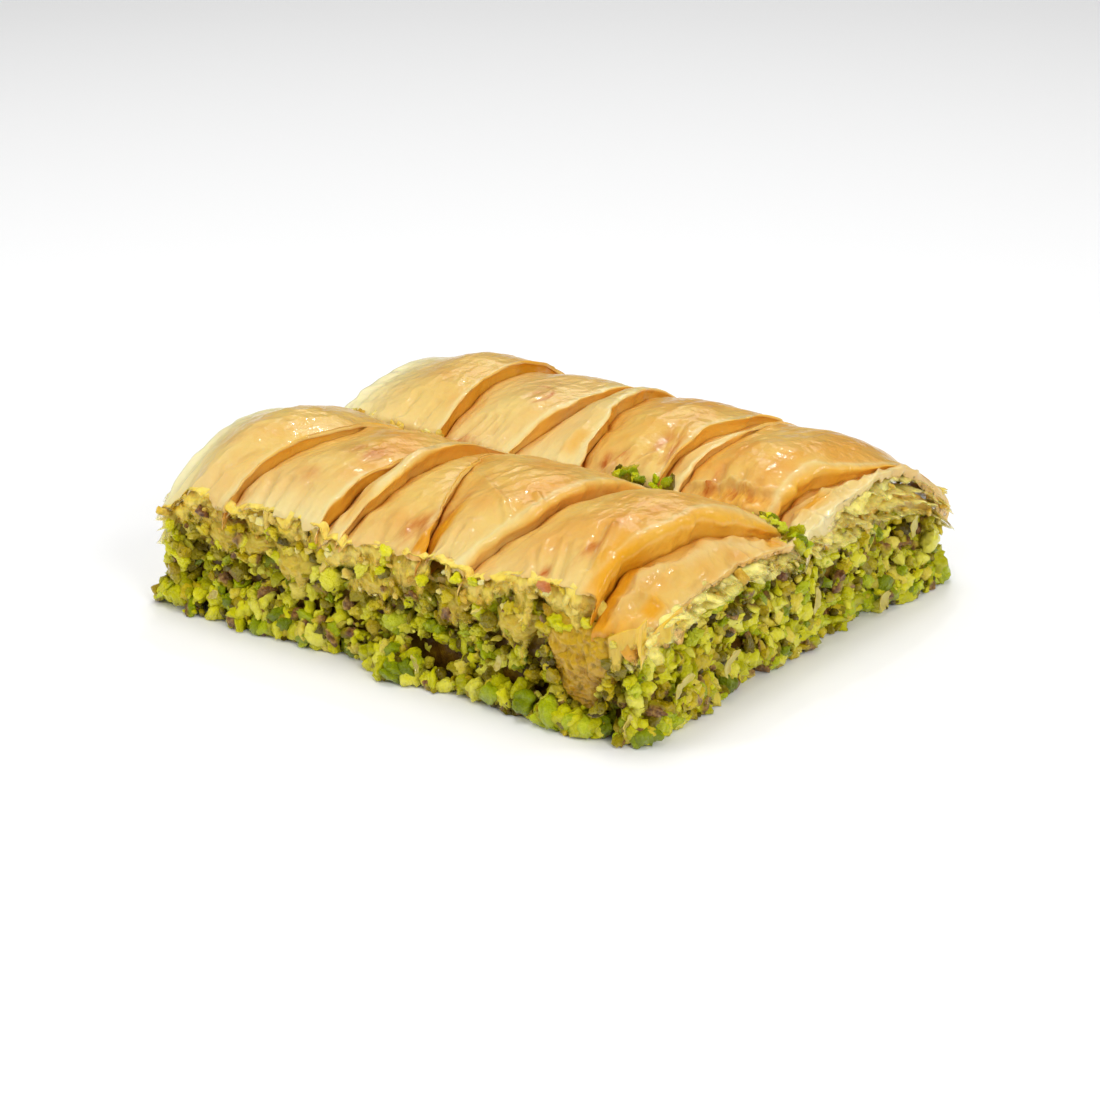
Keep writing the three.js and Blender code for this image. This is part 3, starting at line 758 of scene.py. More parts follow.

# Each lip line is X at a few places across the row, and each drop is the step down to the
# next fold there. nose is how far the lip leans out, under how far it curls back below, climb
# how soon the fold is up to height, puff how far it swells between its lips, and lift how much
# higher it lies at the outer edge. curtain is how far a row's last sheet hangs down, and brim how
# far a sheet hangs over the outer side. crinkle and crumple are heights of fine wrinkles. The rest
# are shares of colour: amber on the lip, lighter gold painted as the light through the sheet on
# its shaded face, and deep below it, amber painted as shade; cream at the edges and pale all
# over; glow along the crease, painted light through the sheet; sheen_band, a pale band beside
# it that is a painted highlight; soak of the brim; and wan at the row's end.
ROW_END_LIP = {
    "lip": [(0, ROW_END - 0.8)], "drop": [(0, 0)], "nose": 1.3, "amber": 0.0, "puff": 0.5, "climb": 1.6,
    "pale": 0.2, "cream": 0.3, "under": 0.0,
    "curtain": [(2, 5.0), (8, 4.2), (14, 2.0), (25, 1.6), (45, 2.4), (58, 3.4)],
}
FRONT_ROW["folds"] = [
    {"lip": [(-58, -45.5), (-48, -44.5), (-36, -42.5), (-24, -39.5), (-2, -37)],
     "drop": [(-58, 3.4), (-40, 3.4), (-26, 2.4), (-16, 0.6), (-2, 0.4)],
     "nose": 0.8, "amber": 1.0, "puff": 2.0, "climb": 2.2, "under": 1.0, "deep": 0.5, "cream": 0.5},
    {"lip": [(-58, -17.5), (-50, -19.5), (-42, -19.5), (-36, -16.5), (-2, -15.5)],
     "drop": [(-58, 3.2), (-48, 4.8), (-40, 3.8), (-33, 1.2), (-26, 0.3), (-2, 0.2)],
     "nose": 1.2, "amber": 1.0, "deep": 0.6, "puff": 0.8, "climb": 4.5, "under": 0.8, "cream": 1.0,
     "brim": 0.5, "lift": 0.9},
    {"lip": [(-58, -13.5), (-48, -12.5), (-36, -12.5), (-20, -13), (-10, -11), (-2, -5)],
     "drop": [(-58, 1.8), (-48, 3.2), (-40, 4.8), (-26, 5.0), (-10, 3.6), (-2, 2.0)],
     "nose": 1.9, "amber": 0.95, "puff": 0.0, "climb": 2.2, "under": 0.5, "pale": 0.3},
    {"lip": [(-58, 9), (-50, 6.5), (-42, 4), (-34, 1.5), (-18, -4), (-2, -3)],
     "drop": [(-58, 3.2), (-50, 3.0), (-36, 2.2), (-28, 1.0), (-20, 0.3), (-2, 0.1)],
     "nose": 1.0, "amber": 1.0, "deep": 0.5, "puff": 0.3, "climb": 2.6, "under": 0.8, "cream": 0.45},
    {"lip": [(-58, 19.5), (-52, 21), (-40, 24), (-24, 25), (-12, 27), (-2, 30)],
     "drop": [(-58, 4.6), (-45, 5.6), (-30, 5.2), (-15, 4.4), (-2, 2.4)],
     "nose": 2.6, "amber": 0.4, "puff": 0.6, "climb": 4.0, "under": 0.1},
    {"lip": [(-58, 53), (-50, 52.6), (-44, 51.8), (-38, 53.5), (-26, 55), (-14, 58), (-2, 60)],
     "drop": [(-58, 5.2), (-45, 6.4), (-30, 6.2), (-15, 5.4), (-2, 3.0)],
     "nose": 2.8, "amber": 1.0, "deep": 0.6, "puff": 0.6, "climb": 3.2, "under": 0.1, "cream": 0.5,
     "brim": 0.4, "lift": 1.0},
    dict(
        ROW_END_LIP, drop=[(-58, -6), (-46, -4.5), (-30, -2), (-2, 0)], climb=1.2, pale=0.1, cream=0.1,
        glow=0.9, sheen_band=0.5, soak=0.9, crinkle=0.6, crumple=0.8,
        brim=[(50, 3), (54, 5.5), (57, 5.8), (60, 3.6), (67, 1.6)],
        curtain=[(-58, 1.2), (-53, 3.5), (-47, 7.5), (-44, 6), (-41.5, 2.4), (-36, 1.4), (-20, 1.8),
                 (-2, 1.6)],
    ),
]
BACK_ROW["folds"] = [
    {"lip": [(2, -35), (16, -36.5), (28, -38), (40, -38), (50, -35.5), (58, -34)],
     "drop": [(2, 3.4), (15, 4.2), (35, 3.8), (58, 1.6)],
     "nose": 0.9, "amber": 1.0, "puff": 0.6, "climb": 2.2, "under": 1.0, "deep": 0.7, "pale": 0.15},
    {"lip": [(2, -14.5), (10, -13), (20, -10.5), (32, -8.5), (58, -5)],
     "drop": [(2, 3.0), (15, 3.8), (30, 3.0), (42, 1.5), (58, 1.0)],
     "nose": 1.6, "amber": 0.9, "puff": 0.5, "climb": 3.5, "under": 0.6, "pale": 0.35},
    {"lip": [(2, 4.5), (10, 2.5), (20, 0), (32, -2), (58, -4)],
     "drop": [(2, 3.6), (15, 3.8), (35, 3.0), (58, 1.6)],
     "nose": 1.1, "amber": 0.9, "puff": 0.0, "climb": 2.6, "under": 0.9, "deep": 0.5, "pale": 0.45},
    {"lip": [(2, 25.5), (12, 24), (24, 24.5), (34, 27), (42, 29), (58, 30)],
     "drop": [(2, 3.6), (24, 3.6), (38, 2.4), (58, 1.5)],
     "nose": 1.5, "amber": 1.0, "puff": 0.7, "climb": 3.0, "under": 0.6},
    {"lip": [(2, 30.5), (12, 30.5), (22, 32.5), (34, 34), (58, 35)],
     "drop": [(2, 2.4), (20, 1.6), (34, 0.5), (58, 0.3)],
     "nose": 0.8, "amber": 0.7, "puff": 0.0, "climb": 1.8, "under": 0.6, "pale": 0.3},
    {"lip": [(2, 55), (10, 54.5), (18, 54), (24, 57), (30, 61), (40, 63), (58, 63.5)],
     "drop": [(2, 4.6), (14, 5.6), (24, 4.2), (32, 1.6), (58, 1.0)],
     "nose": 2.9, "amber": 1.0, "puff": 0.4, "climb": 3.0, "under": 0.2, "deep": 0.6},
    dict(ROW_END_LIP, wan=0.6, pale=0.2, crumple=0.9),
]


def along_lip(stations, y):
    """A value given at a few places across the row, with its corners rounded over 6 mm."""
    places, values = zip(*stations)
    window = np.linspace(-3, 3, 7)
    return np.mean([np.interp(y + step, places, values) for step in window], axis=0)


def lip_x(fold, y):
    """X of a lip line at y, wavering a little."""
    seed = 40 + int(fold["lip"][0][1])
    waver = 0.8 * lattice_noise(seed, y / 8.0) + 0.35 * lattice_noise(seed + 1, y / 2.6)
    return along_lip(fold["lip"], y) + waver * (fold["nose"] > 0.5)


def fold_drop(fold, y):
    """Step from a fold down to the next at y, a little uneven."""
    seed = 60 + int(fold["lip"][0][1])
    return along_lip(fold["drop"], y) * (1 + 0.25 * lattice_noise(seed, y / 5.0))


# Wrinkles that stand out: X and Y of both ends, height (below 0 for a dent) and half width.
WRINKLES = {
    "front": [
        (44.3, -40.2, 48.6, -52, -0.9, 0.8), (46.2, -40.2, 50.2, -51, 0.7, 0.7),
        (37, -47.4, 42, -58, -1.0, 1.0), (40.4, -47.8, 45, -57, -0.9, 0.8),
        (34.8, -50.8, 39.5, -58, -0.8, 0.8), (-1.7, -27.2, 17.8, -40.3, 0.45, 0.6),
        (17.8, -40.3, 22.5, -45, 0.7, 0.6), (21.9, -34.2, 25, -36.5, 0.7, 0.6),
        (-50, -51, -46.5, -43.6, -0.7, 0.7), (-50.9, -53.1, -50.2, -58, -1.0, 1.2),
        (-38.6, -49.4, -34.7, -58, -1.3, 1.2), (-32.9, -50.4, -31.5, -58, -1.1, 1.0),
        (-27, -51, -26, -58, -0.8, 0.9), (63.4, -33, 64.2, -52, 0.6, 0.8), (60, -20, 65, -8, 0.8, 0.7),
        (58.5, -35, 60.5, -52, -0.7, 1.2), (14, -50, 15.5, -58, -0.7, 0.8), (1, -45, 0, -56, -0.6, 1.2),
    ],
    "back": [
        (19.8, 21.6, 24.5, 6, -0.6, 0.9), (37.5, 11, 40.9, 3, -1.2, 0.9),
        (27.2, 12.1, 34.2, 28, 0.7, 0.8), (-29.5, 3.8, -27.5, 8, -1.2, 1.0),
        (-24.5, 4.4, -24, 8.5, -1.0, 0.9), (-21.7, 5, -21.9, 10, -1.0, 0.8), (9.1, 4.8, 12, 8, -1.4, 1.6),
        (12.7, 3, 15, 9, 0.8, 0.7), (17.5, 3, 20.5, 9, 0.8, 0.7), (55.2, 7.4, 59.6, 19, 0.9, 0.7),
        (60.5, 4, 62.5, 24, 0.9, 0.8), (45, 3, 44, 9, -0.9, 0.9), (50, 3, 49, 8, -0.9, 0.9),
        (33, 6.4, 38, 5.4, 1.2, 0.7), (38, 5.4, 43, 7.0, 1.2, 0.7), (43, 7.0, 48, 5.8, 1.2, 0.7),
        (48, 5.8, 53, 7.2, 1.2, 0.7), (-47, 4, -48, 10, -0.9, 1.0), (-41, 3, -41, 9, -0.9, 0.9),
    ],
}


def named_wrinkles(row, x, y):
    """Height of the wrinkles at each point: a round ridge or dent along each line, whose ends
    fade over two half widths."""
    total = np.zeros_like(x)
    for from_x, from_y, to_x, to_y, height, half in WRINKLES[row["name"]]:
        run_x, run_y = to_x - from_x, to_y - from_y
        length = np.hypot(run_x, run_y)
        along = ((x - from_x) * run_x + (y - from_y) * run_y) / length
        across = ((x - from_x) * run_y - (y - from_y) * run_x) / length
        fade = smooth((along + 2 * half) / (2 * half)) * smooth((length + 2 * half - along) / (2 * half))
        total += height * fade * np.exp(-(across / half) ** 2)
    return total


# Brown patches of the bake: X, Y, half length along X and along Y, and strength.
TOAST_SPOTS = {
    "front": [
        (-24.4, -34.4, 5, 4.5, 0.8), (-29.4, -47.4, 2.5, 3, 0.5), (7.7, -47.1, 2, 11, 1.0),
        (3.9, -52.3, 3, 5, 0.9), (40.3, -56.0, 1.2, 2.4, 1.2), (45.7, -45.8, 1.3, 7, 1.4),
        (-56.3, -41.9, 4, 3, 0.4), (12, -16, 9, 8, 0.35), (47, -28, 7, 5, 0.35),
    ],
    "back": [
        (-20.1, 20.1, 5, 3, 0.5), (11.5, 5.8, 5, 2.6, 1.5), (45, 3.6, 10, 2.2, 1.5),
        (-28, 2.5, 5, 1.8, 0.8), (22.5, 10, 2.0, 9, 0.9), (37.6, 8, 1.2, 5, 0.9),
        (-42.9, 37.9, 0.8, 0.8, 1.5), (20.4, 13.4, 2.5, 6, 0.6), (39.1, 22.7, 2.0, 8, 0.5),
        (17, 25, 6, 6, 0.35), (45, 14, 5, 6, 0.45),
    ],
}
# Places where the sheet is thin and the light comes through amber, painted as colour, in the same way.
AMBER_SPOTS = {
    "front": [
        (62.5, -49.0, 1.6, 2.6, 0.8), (63.5, -8.5, 2.2, 4.0, 0.9), (-13.5, -50, 2, 5, 0.5),
        (9, -53, 2, 5, 0.6), (53.4, -50, 2.2, 9, 1.0), (50.2, -47, 1.0, 6, 0.7), (8.6, -50, 1.5, 8, 0.9),
    ],
    "back": [
        (60, 12, 2.0, 5, 0.9), (-38, 44, 2.5, 8, 0.9), (0, 8, 2.0, 4, 0.6), (45, 3.2, 11, 2.2, 0.7),
    ],
}


def lit_through(row, x, y):
    """Share of amber at each point, painted light from the thin places."""
    total = np.zeros_like(x)
    for spot_x, spot_y, half_x, half_y, strength in AMBER_SPOTS[row["name"]]:
        total += strength * np.exp(-((x - spot_x) / half_x) ** 4 - ((y - spot_y) / half_y) ** 4)
    return total


# Faint ring left by a bubble in the second fold of the back row: X, Y, radius and half width.
BUBBLE_RING = (-21.0, 19.5, 4.6, 0.4)


def toasted(row, x, y):
    """Share of brown at each point: a few round-edged spots, and most of a ring on the back row."""
    ring_x, ring_y, radius, half = BUBBLE_RING
    away = np.hypot(x - ring_x, y - ring_y)
    turned = (x - ring_x + y - ring_y) / np.maximum(away, 0.1)
    total = 0.7 * (row["side"] > 0) * np.exp(-((away - radius) / half) ** 2) * smooth(0.6 + 0.6 * turned)
    for spot_x, spot_y, half_x, half_y, strength in TOAST_SPOTS[row["name"]]:
        total += strength * np.exp(-((x - spot_x) / half_x) ** 2 - ((y - spot_y) / half_y) ** 2)
    return total


def across_stations():
    """Stations across a row, from -1 at the end of the outer brim, 0 at the outer edge, 1 at
    the gap edge to 2 at the end of the brim in the gap."""
    return np.concatenate([np.linspace(-1, 0, 12)[:-1], np.linspace(0, 1, 92), np.linspace(1, 2, 8)[1:]])


def brim_offset(length, share, slope):
    """Offset along a brim at a share of its length: it starts at the slope of the arch, turns
    down to a steep slope round a bend of limited radius and hangs. Gives the ways out and down."""
    radius = np.minimum(length / (HANGING_SLOPE - slope), BRIM_BEND)
    angle = slope + np.minimum(share * length / radius, HANGING_SLOPE - slope)
    hang = np.maximum(share * length - radius * (HANGING_SLOPE - slope), 0)
    out = radius * (np.sin(angle) - np.sin(slope)) + hang * np.cos(HANGING_SLOPE)
    return out, radius * (np.cos(slope) - np.cos(angle)) + hang * np.sin(HANGING_SLOPE)


def measured(value, at):
    """A number as it is, or what a list of stations gives at a place."""
    return np.interp(at, *zip(*value)) if isinstance(value, list) else value


def surface_normals(points):
    """Unit normals of a grid of points, from its differences both ways."""
    along = np.gradient(points, axis=0)
    across = np.gradient(points, axis=1)
    normal = np.cross(along, across)
    return normal / np.maximum(np.linalg.norm(normal, axis=2, keepdims=True), 1e-9)


def near_edge(row, edge, y, reach):
    """Share that is 1 at a row's outer or gap edge and falls off over a reach by powers of e."""
    return np.exp(-np.abs(y - row[edge]) / reach)


def fold_seed(row, k):
    """First of the seeds for the noise on fold k."""
    return 100 * (row["side"] > 0) + 10 * k


def by_part(spans, *values):
    """Joins one value for each part of a fold's columns: tuck, top, turn and return."""
    return np.concatenate([value + 0 * span for value, span in zip(values, spans)])


def fold_limits(row, k, y):
    """Where fold k comes out from under the lip before it, where its own lip is, and how far it
    lies below and above the arch there."""
    fold = row["folds"][k]
    lip = lip_x(fold, y)
    high = LIP_SHARE * fold_drop(fold, y)
    if k == 0:
        return ROW_START + 0.5 * lattice_noise(71, y / 3.0), lip, 0 * y, high
    before = row["folds"][k - 1]
    previous = lip_x(before, y)
    start = previous + np.minimum(0.55 * before["nose"], 0.3 * (lip - previous))
    return start, lip, (LIP_SHARE - 1) * fold_drop(before, y), high


def fold_columns(row, k, y):
    """X and rise over the arch down the columns of fold k, its width and lip, and the shares run
    through in its four parts. A column starts in the tuck, climbs over the top by a power of the
    way left, rounds the lip as half an ellipse that curls back underneath, and returns."""
    fold = row["folds"][k]
    start, lip, low, high = fold_limits(row, k, y)
    width = np.maximum(lip - start, 0.8)
    top_count = int(np.clip((lip - start).max() / TOP_STEP, TOP_LEAST, TOP_MOST))
    tuck = np.linspace(1, 0, 6)[:-1][:, None] if k else np.zeros((0, 1))
    u = np.linspace(0, 1, top_count)[:, None]
    turn = np.linspace(0, 1, 13)[1:][:, None]
    back = np.linspace(0, 1, 4)[1:][:, None]
    drop = fold_drop(fold, y)
    most = max(depth for _, depth in fold["drop"])
    wave = lattice_noise(15 + k, y / 5.5) + 0.5 * lattice_noise(35 + k, y / 2.2)
    nose = fold["nose"] * (0.3 + 0.7 * np.clip(drop / max(most, 0.1), 0, 1)) * (1 + 0.25 * wave)
    step = drop + 0.8
    if "curtain" in fold:
        ragged = 0.5 * lattice_noise(37 + k, y / 4.0) + 0.4 * lattice_noise(38 + k, y / 1.2)
        step = measured(fold["curtain"], y) * np.maximum(0.95 + ragged, 0.15)
        back = 0 * back
    climb = 1 - (1 - u) ** fold["climb"]
    swell = fold["puff"] * np.sin(np.pi * u)
    under = fold["under"]
    lean = np.sin(np.clip(turn * (1.35 + 2.0 * under), 0, 1) * np.pi / 2)
    lean = lean - (0.5 + 0.7 * under) * smooth((turn - 0.62 + 0.35 * under) / (0.38 + 0.2 * under))
    fall = 0.08 * turn + 0.92 * turn ** 2.5
    spans = (tuck, u, turn, back)
    x = by_part(spans, start - TUCK_RUN * tuck, start + width * u, lip + nose * lean, lip - RETURN_RUN * back)
    rise = by_part(
        spans, low - 1.2 * tuck, low + (high - low) * climb + swell,
        high - step * fall, high - step - 0.2 * back,
    )
    return x, rise, width, lip, spans


def fold_brims(row, k, x, station):
    """Ways out and down that the two brims of fold k add: a ragged outer one, and a plain one in
    the gap, which goes out the other way."""
    fold = row["folds"][k]
    seed = fold_seed(row, k)
    length = measured(fold.get("brim", OUTER_BRIM), x) + lattice_noise(seed + 1, x / 7)
    length = length + 0.9 * lattice_noise(seed + 2, x / 2.3) + 0.6 * lattice_noise(seed + 14, x / 1.1)
    outer_out, outer_down = brim_offset(np.maximum(length, 0.3), np.clip(-station, 0, 1), OUTER_SLOPE)
    gap_out, gap_down = brim_offset(np.full_like(x, GAP_BRIM), np.clip(station - 1, 0, 1), GAP_SLOPE)
    return outer_out - gap_out, outer_down + gap_down


def wrinkle_height(row, k, points, near_outer, near_gap):
    """Height of the wrinkles of fold k over its smooth sheet: broad waves, creases, gathers and
    pinches at both edges, the named wrinkles, and fine crinkles. Each is noise drawn out along the
    lip, and 1 less its absolute value, raised to a power, makes sharp ridges of it."""
    fold = row["folds"][k]
    seed = fold_seed(row, k)
    x, y, z = np.moveaxis(points, -1, 0)
    flow = x - 0.9 * lip_x(fold, y)
    warp = 1.8 * lattice_noise(seed + 7, flow / 12, y / 12) + 0.5 * lattice_noise(seed + 5, flow / 4, y / 4)
    bent = flow + warp
    ways = [(bent / 6.5, y / 20), ((bent - 0.35 * y) / 5, y / 13), ((flow + 0.5 * y) / 3.2, y / 5)]
    ridges = [1 - np.abs(lattice_noise(seed + 10 + place, *way)) for place, way in enumerate(ways)]
    broad = 0.6 * lattice_noise(seed + 3, flow / 11, y / 17)
    patches = smooth(0.5 + 1.6 * lattice_noise(seed + 4, flow / 14, y / 12))
    creases = (0.2 * ridges[0] ** 6 - 0.12 * ridges[1] ** 7) * patches + 0.03 * ridges[2] ** 3
    gathers = 1.1 * near_outer * lattice_noise(seed + 6, bent / 2.8, y / 30)
    gathers = gathers + 0.6 * near_gap * lattice_noise(seed + 8, bent / 2.6, y / 5)
    pinches = (1 - np.abs(lattice_noise(seed + 9, bent / 3.4, y / 40))) ** 5
    pinches = 0.6 * (near_outer + near_gap) * pinches
    crinkles = fold.get("crinkle", 0) * near_outer ** 2 * lattice_noise(seed + 12, x / 1.4, z / 1.7)
    crumples = (1 - np.abs(lattice_noise(seed + 13, (x + warp) / 2.6, y / 4.5))) ** 3 - 0.3
    crumples = fold.get("crumple", 0.15) * crumples * (1 + near_gap)
    return broad + creases + gathers + pinches + named_wrinkles(row, x, y) + crinkles + crumples - SETTLED


def colour_shares(row, k, x, y, station, columns, near_outer):
    """Shares of the sheet's colours at each point of fold k: side on the lip, where lighter gold is
    painted light through the sheet on its shaded face; glow, painted light where light comes
    through and painted shade down the lip, with the brim's own soaked colour; crease at the lip
    before, amber over the two sheets that is partly painted shade; pale at the edges, with a
    painted highlight along the top edge of each lip, and beyond 1 where it is wan; toast in the
    spots, and fray, by which the edges tear. Most fall off by powers of e from a line."""
    fold = row["folds"][k]
    width, lip, spans = columns
    tuck, u, turn, back = spans
    soak = fold.get("soak", 0)
    brim = np.clip(-station, 0, 1)
    into = by_part(spans, 0, u, 1, 1) * width
    # side: the lip's turned-down face, which the material paints lighter gold as light through the sheet on
    # its shaded face.
    side = by_part(spans, 0, 0, smooth((turn - 0.1) / 0.5), 1)
    side = side * np.clip(0.85 + 0.5 * lattice_noise(fold_seed(row, k) + 8, y / 6.5, x / 3), 0, 1)
    # glow: painted light through the sheet near the crease and at thin places, and by deep painted shade down
    # the lip's face; soak adds the brim's own soaked amber.
    glow = near_outer * (fold.get("glow", 0) * np.exp(-into / 2.2) + 0.75 * soak)
    glow = glow + side * fold.get("deep", 0) + lit_through(row, x, y)
    pale = fold.get("cream", 0.7) * near_edge(row, "outer", y, 10) + 0.4 * near_edge(row, "gap", y, 5)
    # Paler towards the row's left end: partly the thin sheet's own colour, partly painted light on that end.
    pale = pale + fold.get("pale", 0) + np.exp(-(x - ROW_START) / 7)
    # A painted highlight: a thin pale line along the top edge of each lip.
    rim_highlight = by_part(spans, 0, smooth((u - 0.5) / 0.5), (1 - turn) ** 4, 0)
    pale = pale + 0.6 * rim_highlight * np.exp(-(lip - np.minimum(x, lip)) / 0.5)
    pale = pale * (1 - soak * smooth(brim / 0.5))
    # A painted highlight: a pale band beside the crease.
    pale = pale + fold.get("sheen_band", 0) * np.exp(-((into - 3.6) / 1.6) ** 2)
    # wan at the left end is partly painted light as well; at the right end it is the sheet's own colour.
    wan = 0.8 * np.exp(-(x - ROW_START) / 6)
    wan = wan + fold.get("wan", 0) * np.exp(-np.maximum(ROW_END - x, 0) / 7)
    if "curtain" in fold:
        brim = np.maximum(brim, by_part(spans, 0, 0, turn ** 2, 1))
    return {
        "side": np.clip(side * fold["amber"], 0, 1),
        "glow": np.clip(glow, 0, 1),
        # crease: amber where the fold comes out from under the lip before, partly the two sheets' deeper
        # colour and partly painted shade.
        "crease": np.exp(-into / 1.6) * (k > 0),
        "pale": np.clip(np.clip(pale, 0, 1) + wan, 0, 2),
        "toast": toasted(row, x, y),
        "fray": brim,
    }


def fold_sheet(row, k):
    """Points and colour shares of fold k: its columns laid over the row's arch, brims turned down
    at both edges, and wrinkles pushed out along the normals of the shown part."""
    station = across_stations()
    y = row["outer"] + (row["gap"] - row["outer"]) * np.clip(station, 0, 1)
    x, rise, width, lip, spans = fold_columns(row, k, y)
    y, station = np.broadcast_to(y, x.shape), np.broadcast_to(station, x.shape)
    near_outer, near_gap = near_edge(row, "outer", y, 8), near_edge(row, "gap", y, 4.5)
    z = row_height(row, "top", np.clip(x, ROW_START, ROW_END), y) + rise
    z = z + row["folds"][k].get("lift", 0) * near_outer
    out, down = fold_brims(row, k, x, station)
    shown = by_part(spans, 0, 1, 1, 0)
    y = y + row["side"] * out * shown
    y = row["crest"] + (y - row["crest"]) * (0.93 + 0.07 * shown)
    points = np.stack([x, y, z - down * shown], -1)
    normals = surface_normals(points)
    normals = normals * np.sign(normals[..., 2].sum())
    tuck, u, turn, back = spans
    on_top = by_part(spans, 0, smooth(u / 0.12), 0.3 + 0.7 * (1 - turn), 0)
    height = wrinkle_height(row, k, points, near_outer, near_gap) * on_top
    shares = colour_shares(row, k, x, y, station, (width, lip, spans), near_outer)
    return points + normals * height[..., None], shares


# LIT_LIP_GOLD is painted light on the shaded faces of the lips. AMBER serves painted light through thin
# places, painted shade down the lips and in the creases, and the soaked brim's own colour. WAN is partly
# painted light at the row's left end.
GOLD = linear(221, 168, 79)
PALE = linear(231, 204, 141)
WAN = linear(240, 230, 184)
LIT_LIP_GOLD = linear(250, 188, 72)
AMBER = linear(222, 152, 30)
BROWN = linear(184, 98, 32)


def tinted(color, red, green, blue):
    """A colour with its red, green and blue each multiplied."""
    return tuple(np.array(color) * (red, green, blue, 1))


def crisp_phyllo_material():
    """Baked sheet under syrup: gold over the top, pale at the edges, brown in patches, with long
    fine lines and small blisters. Painted light and shade: lighter gold on the turned-down faces of
    the lips for the light through the sheet, a pale line along the top edge of each lip and a pale
    band beside the last crease as painted highlights, amber for light through thin places, and
    deeper amber as shade down the lips and in the creases. The soaked brim is amber of its own.
    Its edges are torn where fray and a noise together are high, and the syrup lies over it as a
    smooth rippled coat."""
    material, tree, shader = new_material(
        "crisp_phyllo", GOLD, 0.3, Coat_Weight=0.5, Coat_Roughness=0.1, Specular_IOR_Level=0.3,
        Subsurface_Weight=0.25, Subsurface_Scale=0.002, Subsurface_Radius=(1.0, 0.5, 0.12),
    )
    plain = object_coordinate(tree)
    drawn = object_coordinate(tree, stretch=(1, 6, 2), turn=0.12)
    slanted = object_coordinate(tree, stretch=(1, 3, 2), turn=-0.3)
    pale = attribute(tree, "pale")
    cloud = noise_texture(tree, 0.016, plain, Detail=4.0, Roughness=0.5)
    warm = ramp(tree, cloud, [(0.4, 0.0), (0.62, 1.0)])
    color = mixed(tree, warm, tinted(GOLD, 1.04, 1.14, 1.35), tinted(GOLD, 1.0, 0.84, 0.66))
    streak = noise_texture(tree, 0.0022, drawn, Detail=6.0, Roughness=0.6)
    streaked = math_node(tree, "MULTIPLY_ADD", streak, 0.14, -0.08)
    color = mixed(tree, math_node(tree, "ADD", pale, streaked, clamp=True), color, PALE)
    color = mixed(tree, math_node(tree, "SUBTRACT", pale, 1.0, clamp=True), color, WAN)
    # Painted light: the lips' turned-down faces in lighter gold, for the light through the sheet.
    color = mixed(tree, attribute(tree, "side"), color, LIT_LIP_GOLD)
    # Painted light through the sheet and painted shade down the lips in amber, with the soaked brim's own
    # amber.
    color = mixed(tree, attribute(tree, "glow"), color, AMBER)
    # Painted shade in the creases, over the deeper colour of two sheets.
    crease_share = math_node(tree, "MULTIPLY", attribute(tree, "crease"), 0.6)
    color = mixed(tree, crease_share, color, tinted(AMBER, 0.95, 0.85, 0.8))
    blot = noise_texture(tree, 0.004, drawn, Detail=6.0, Roughness=0.65)
    blotted = ramp(tree, blot, [(0.42, 0.0), (0.6, 1.0)])
    toast_share = math_node(tree, "MULTIPLY", attribute(tree, "toast"), blotted, clamp=True)
    tree.links.new(mixed(tree, toast_share, color, BROWN), shader.inputs["Base Color"])
    gloss = noise_texture(tree, 0.006, plain, Detail=4.0)
    tree.links.new(ramp(tree, gloss, [(0.35, 0.28), (0.65, 0.46)]), shader.inputs["Roughness"])
    holes = noise_texture(tree, 0.0024, plain, Detail=6.0, Roughness=0.6)
    thin = math_node(tree, "MULTIPLY_ADD", attribute(tree, "fray"), 0.24, holes)
    tree.links.new(ramp(tree, thin, [(0.76, 1.0), (0.84, 0.5), (0.94, 0.0)]), shader.inputs["Alpha"])
    blister = noise_texture(tree, 0.003, plain, Detail=4.0, Roughness=0.45)
    line = noise_texture(tree, 0.007, slanted, Detail=2.0)
    lines = ramp(tree, line, [(0.475, 0.0), (0.49, 1.0), (0.5, 1.0), (0.515, 0.0)])
    relief = math_node(tree, "MULTIPLY_ADD", lines, 0.05, math_node(tree, "MULTIPLY", blister, 0.8))
    bump(tree, shader, "Normal", relief, 0.0009, 0.7)
    bump(tree, shader, "Coat Normal", noise_texture(tree, 0.003, plain, Detail=2.5), 0.0005)
    return material


crisp_phyllo = crisp_phyllo_material()


def thicken(piece, thickness):
    """Gives a sheet its thickness, inwards from its outer face."""
    solidify = piece.modifiers.new("thickness", "SOLIDIFY")
    solidify.thickness = thickness * MM
    solidify.offset = -1


for row in (FRONT_ROW, BACK_ROW):
    for k in range(len(row["folds"])):
        points, shares = fold_sheet(row, k)
        faces = grid_faces(*points.shape[:2])
        if row["side"] > 0:
            faces = faces[:, ::-1]
        name = f"{row['name']}_fold_{k + 1}"
        sheet = add_piece(name, points, faces, crisp_phyllo, row["node"], shares)
        thicken(sheet, SHEET_THICKNESS)


# ---------------------------------------------------------------------------------------
# Inner layers: the lower sheets of the pastry, soft and matted with syrup and ground nut. They
# fill each row under its crisp folds, and their ragged edges show at the row's ends.
INNER_CLEARANCE_TOP, INNER_SINK = 5.2, 0.4
INNER_LEAST = 1.2
INNER_INSET = 1.7
# Points of the grid: along the row, across its top and its underside, and up each side.
INNER_POINTS = (120, 60, 8)


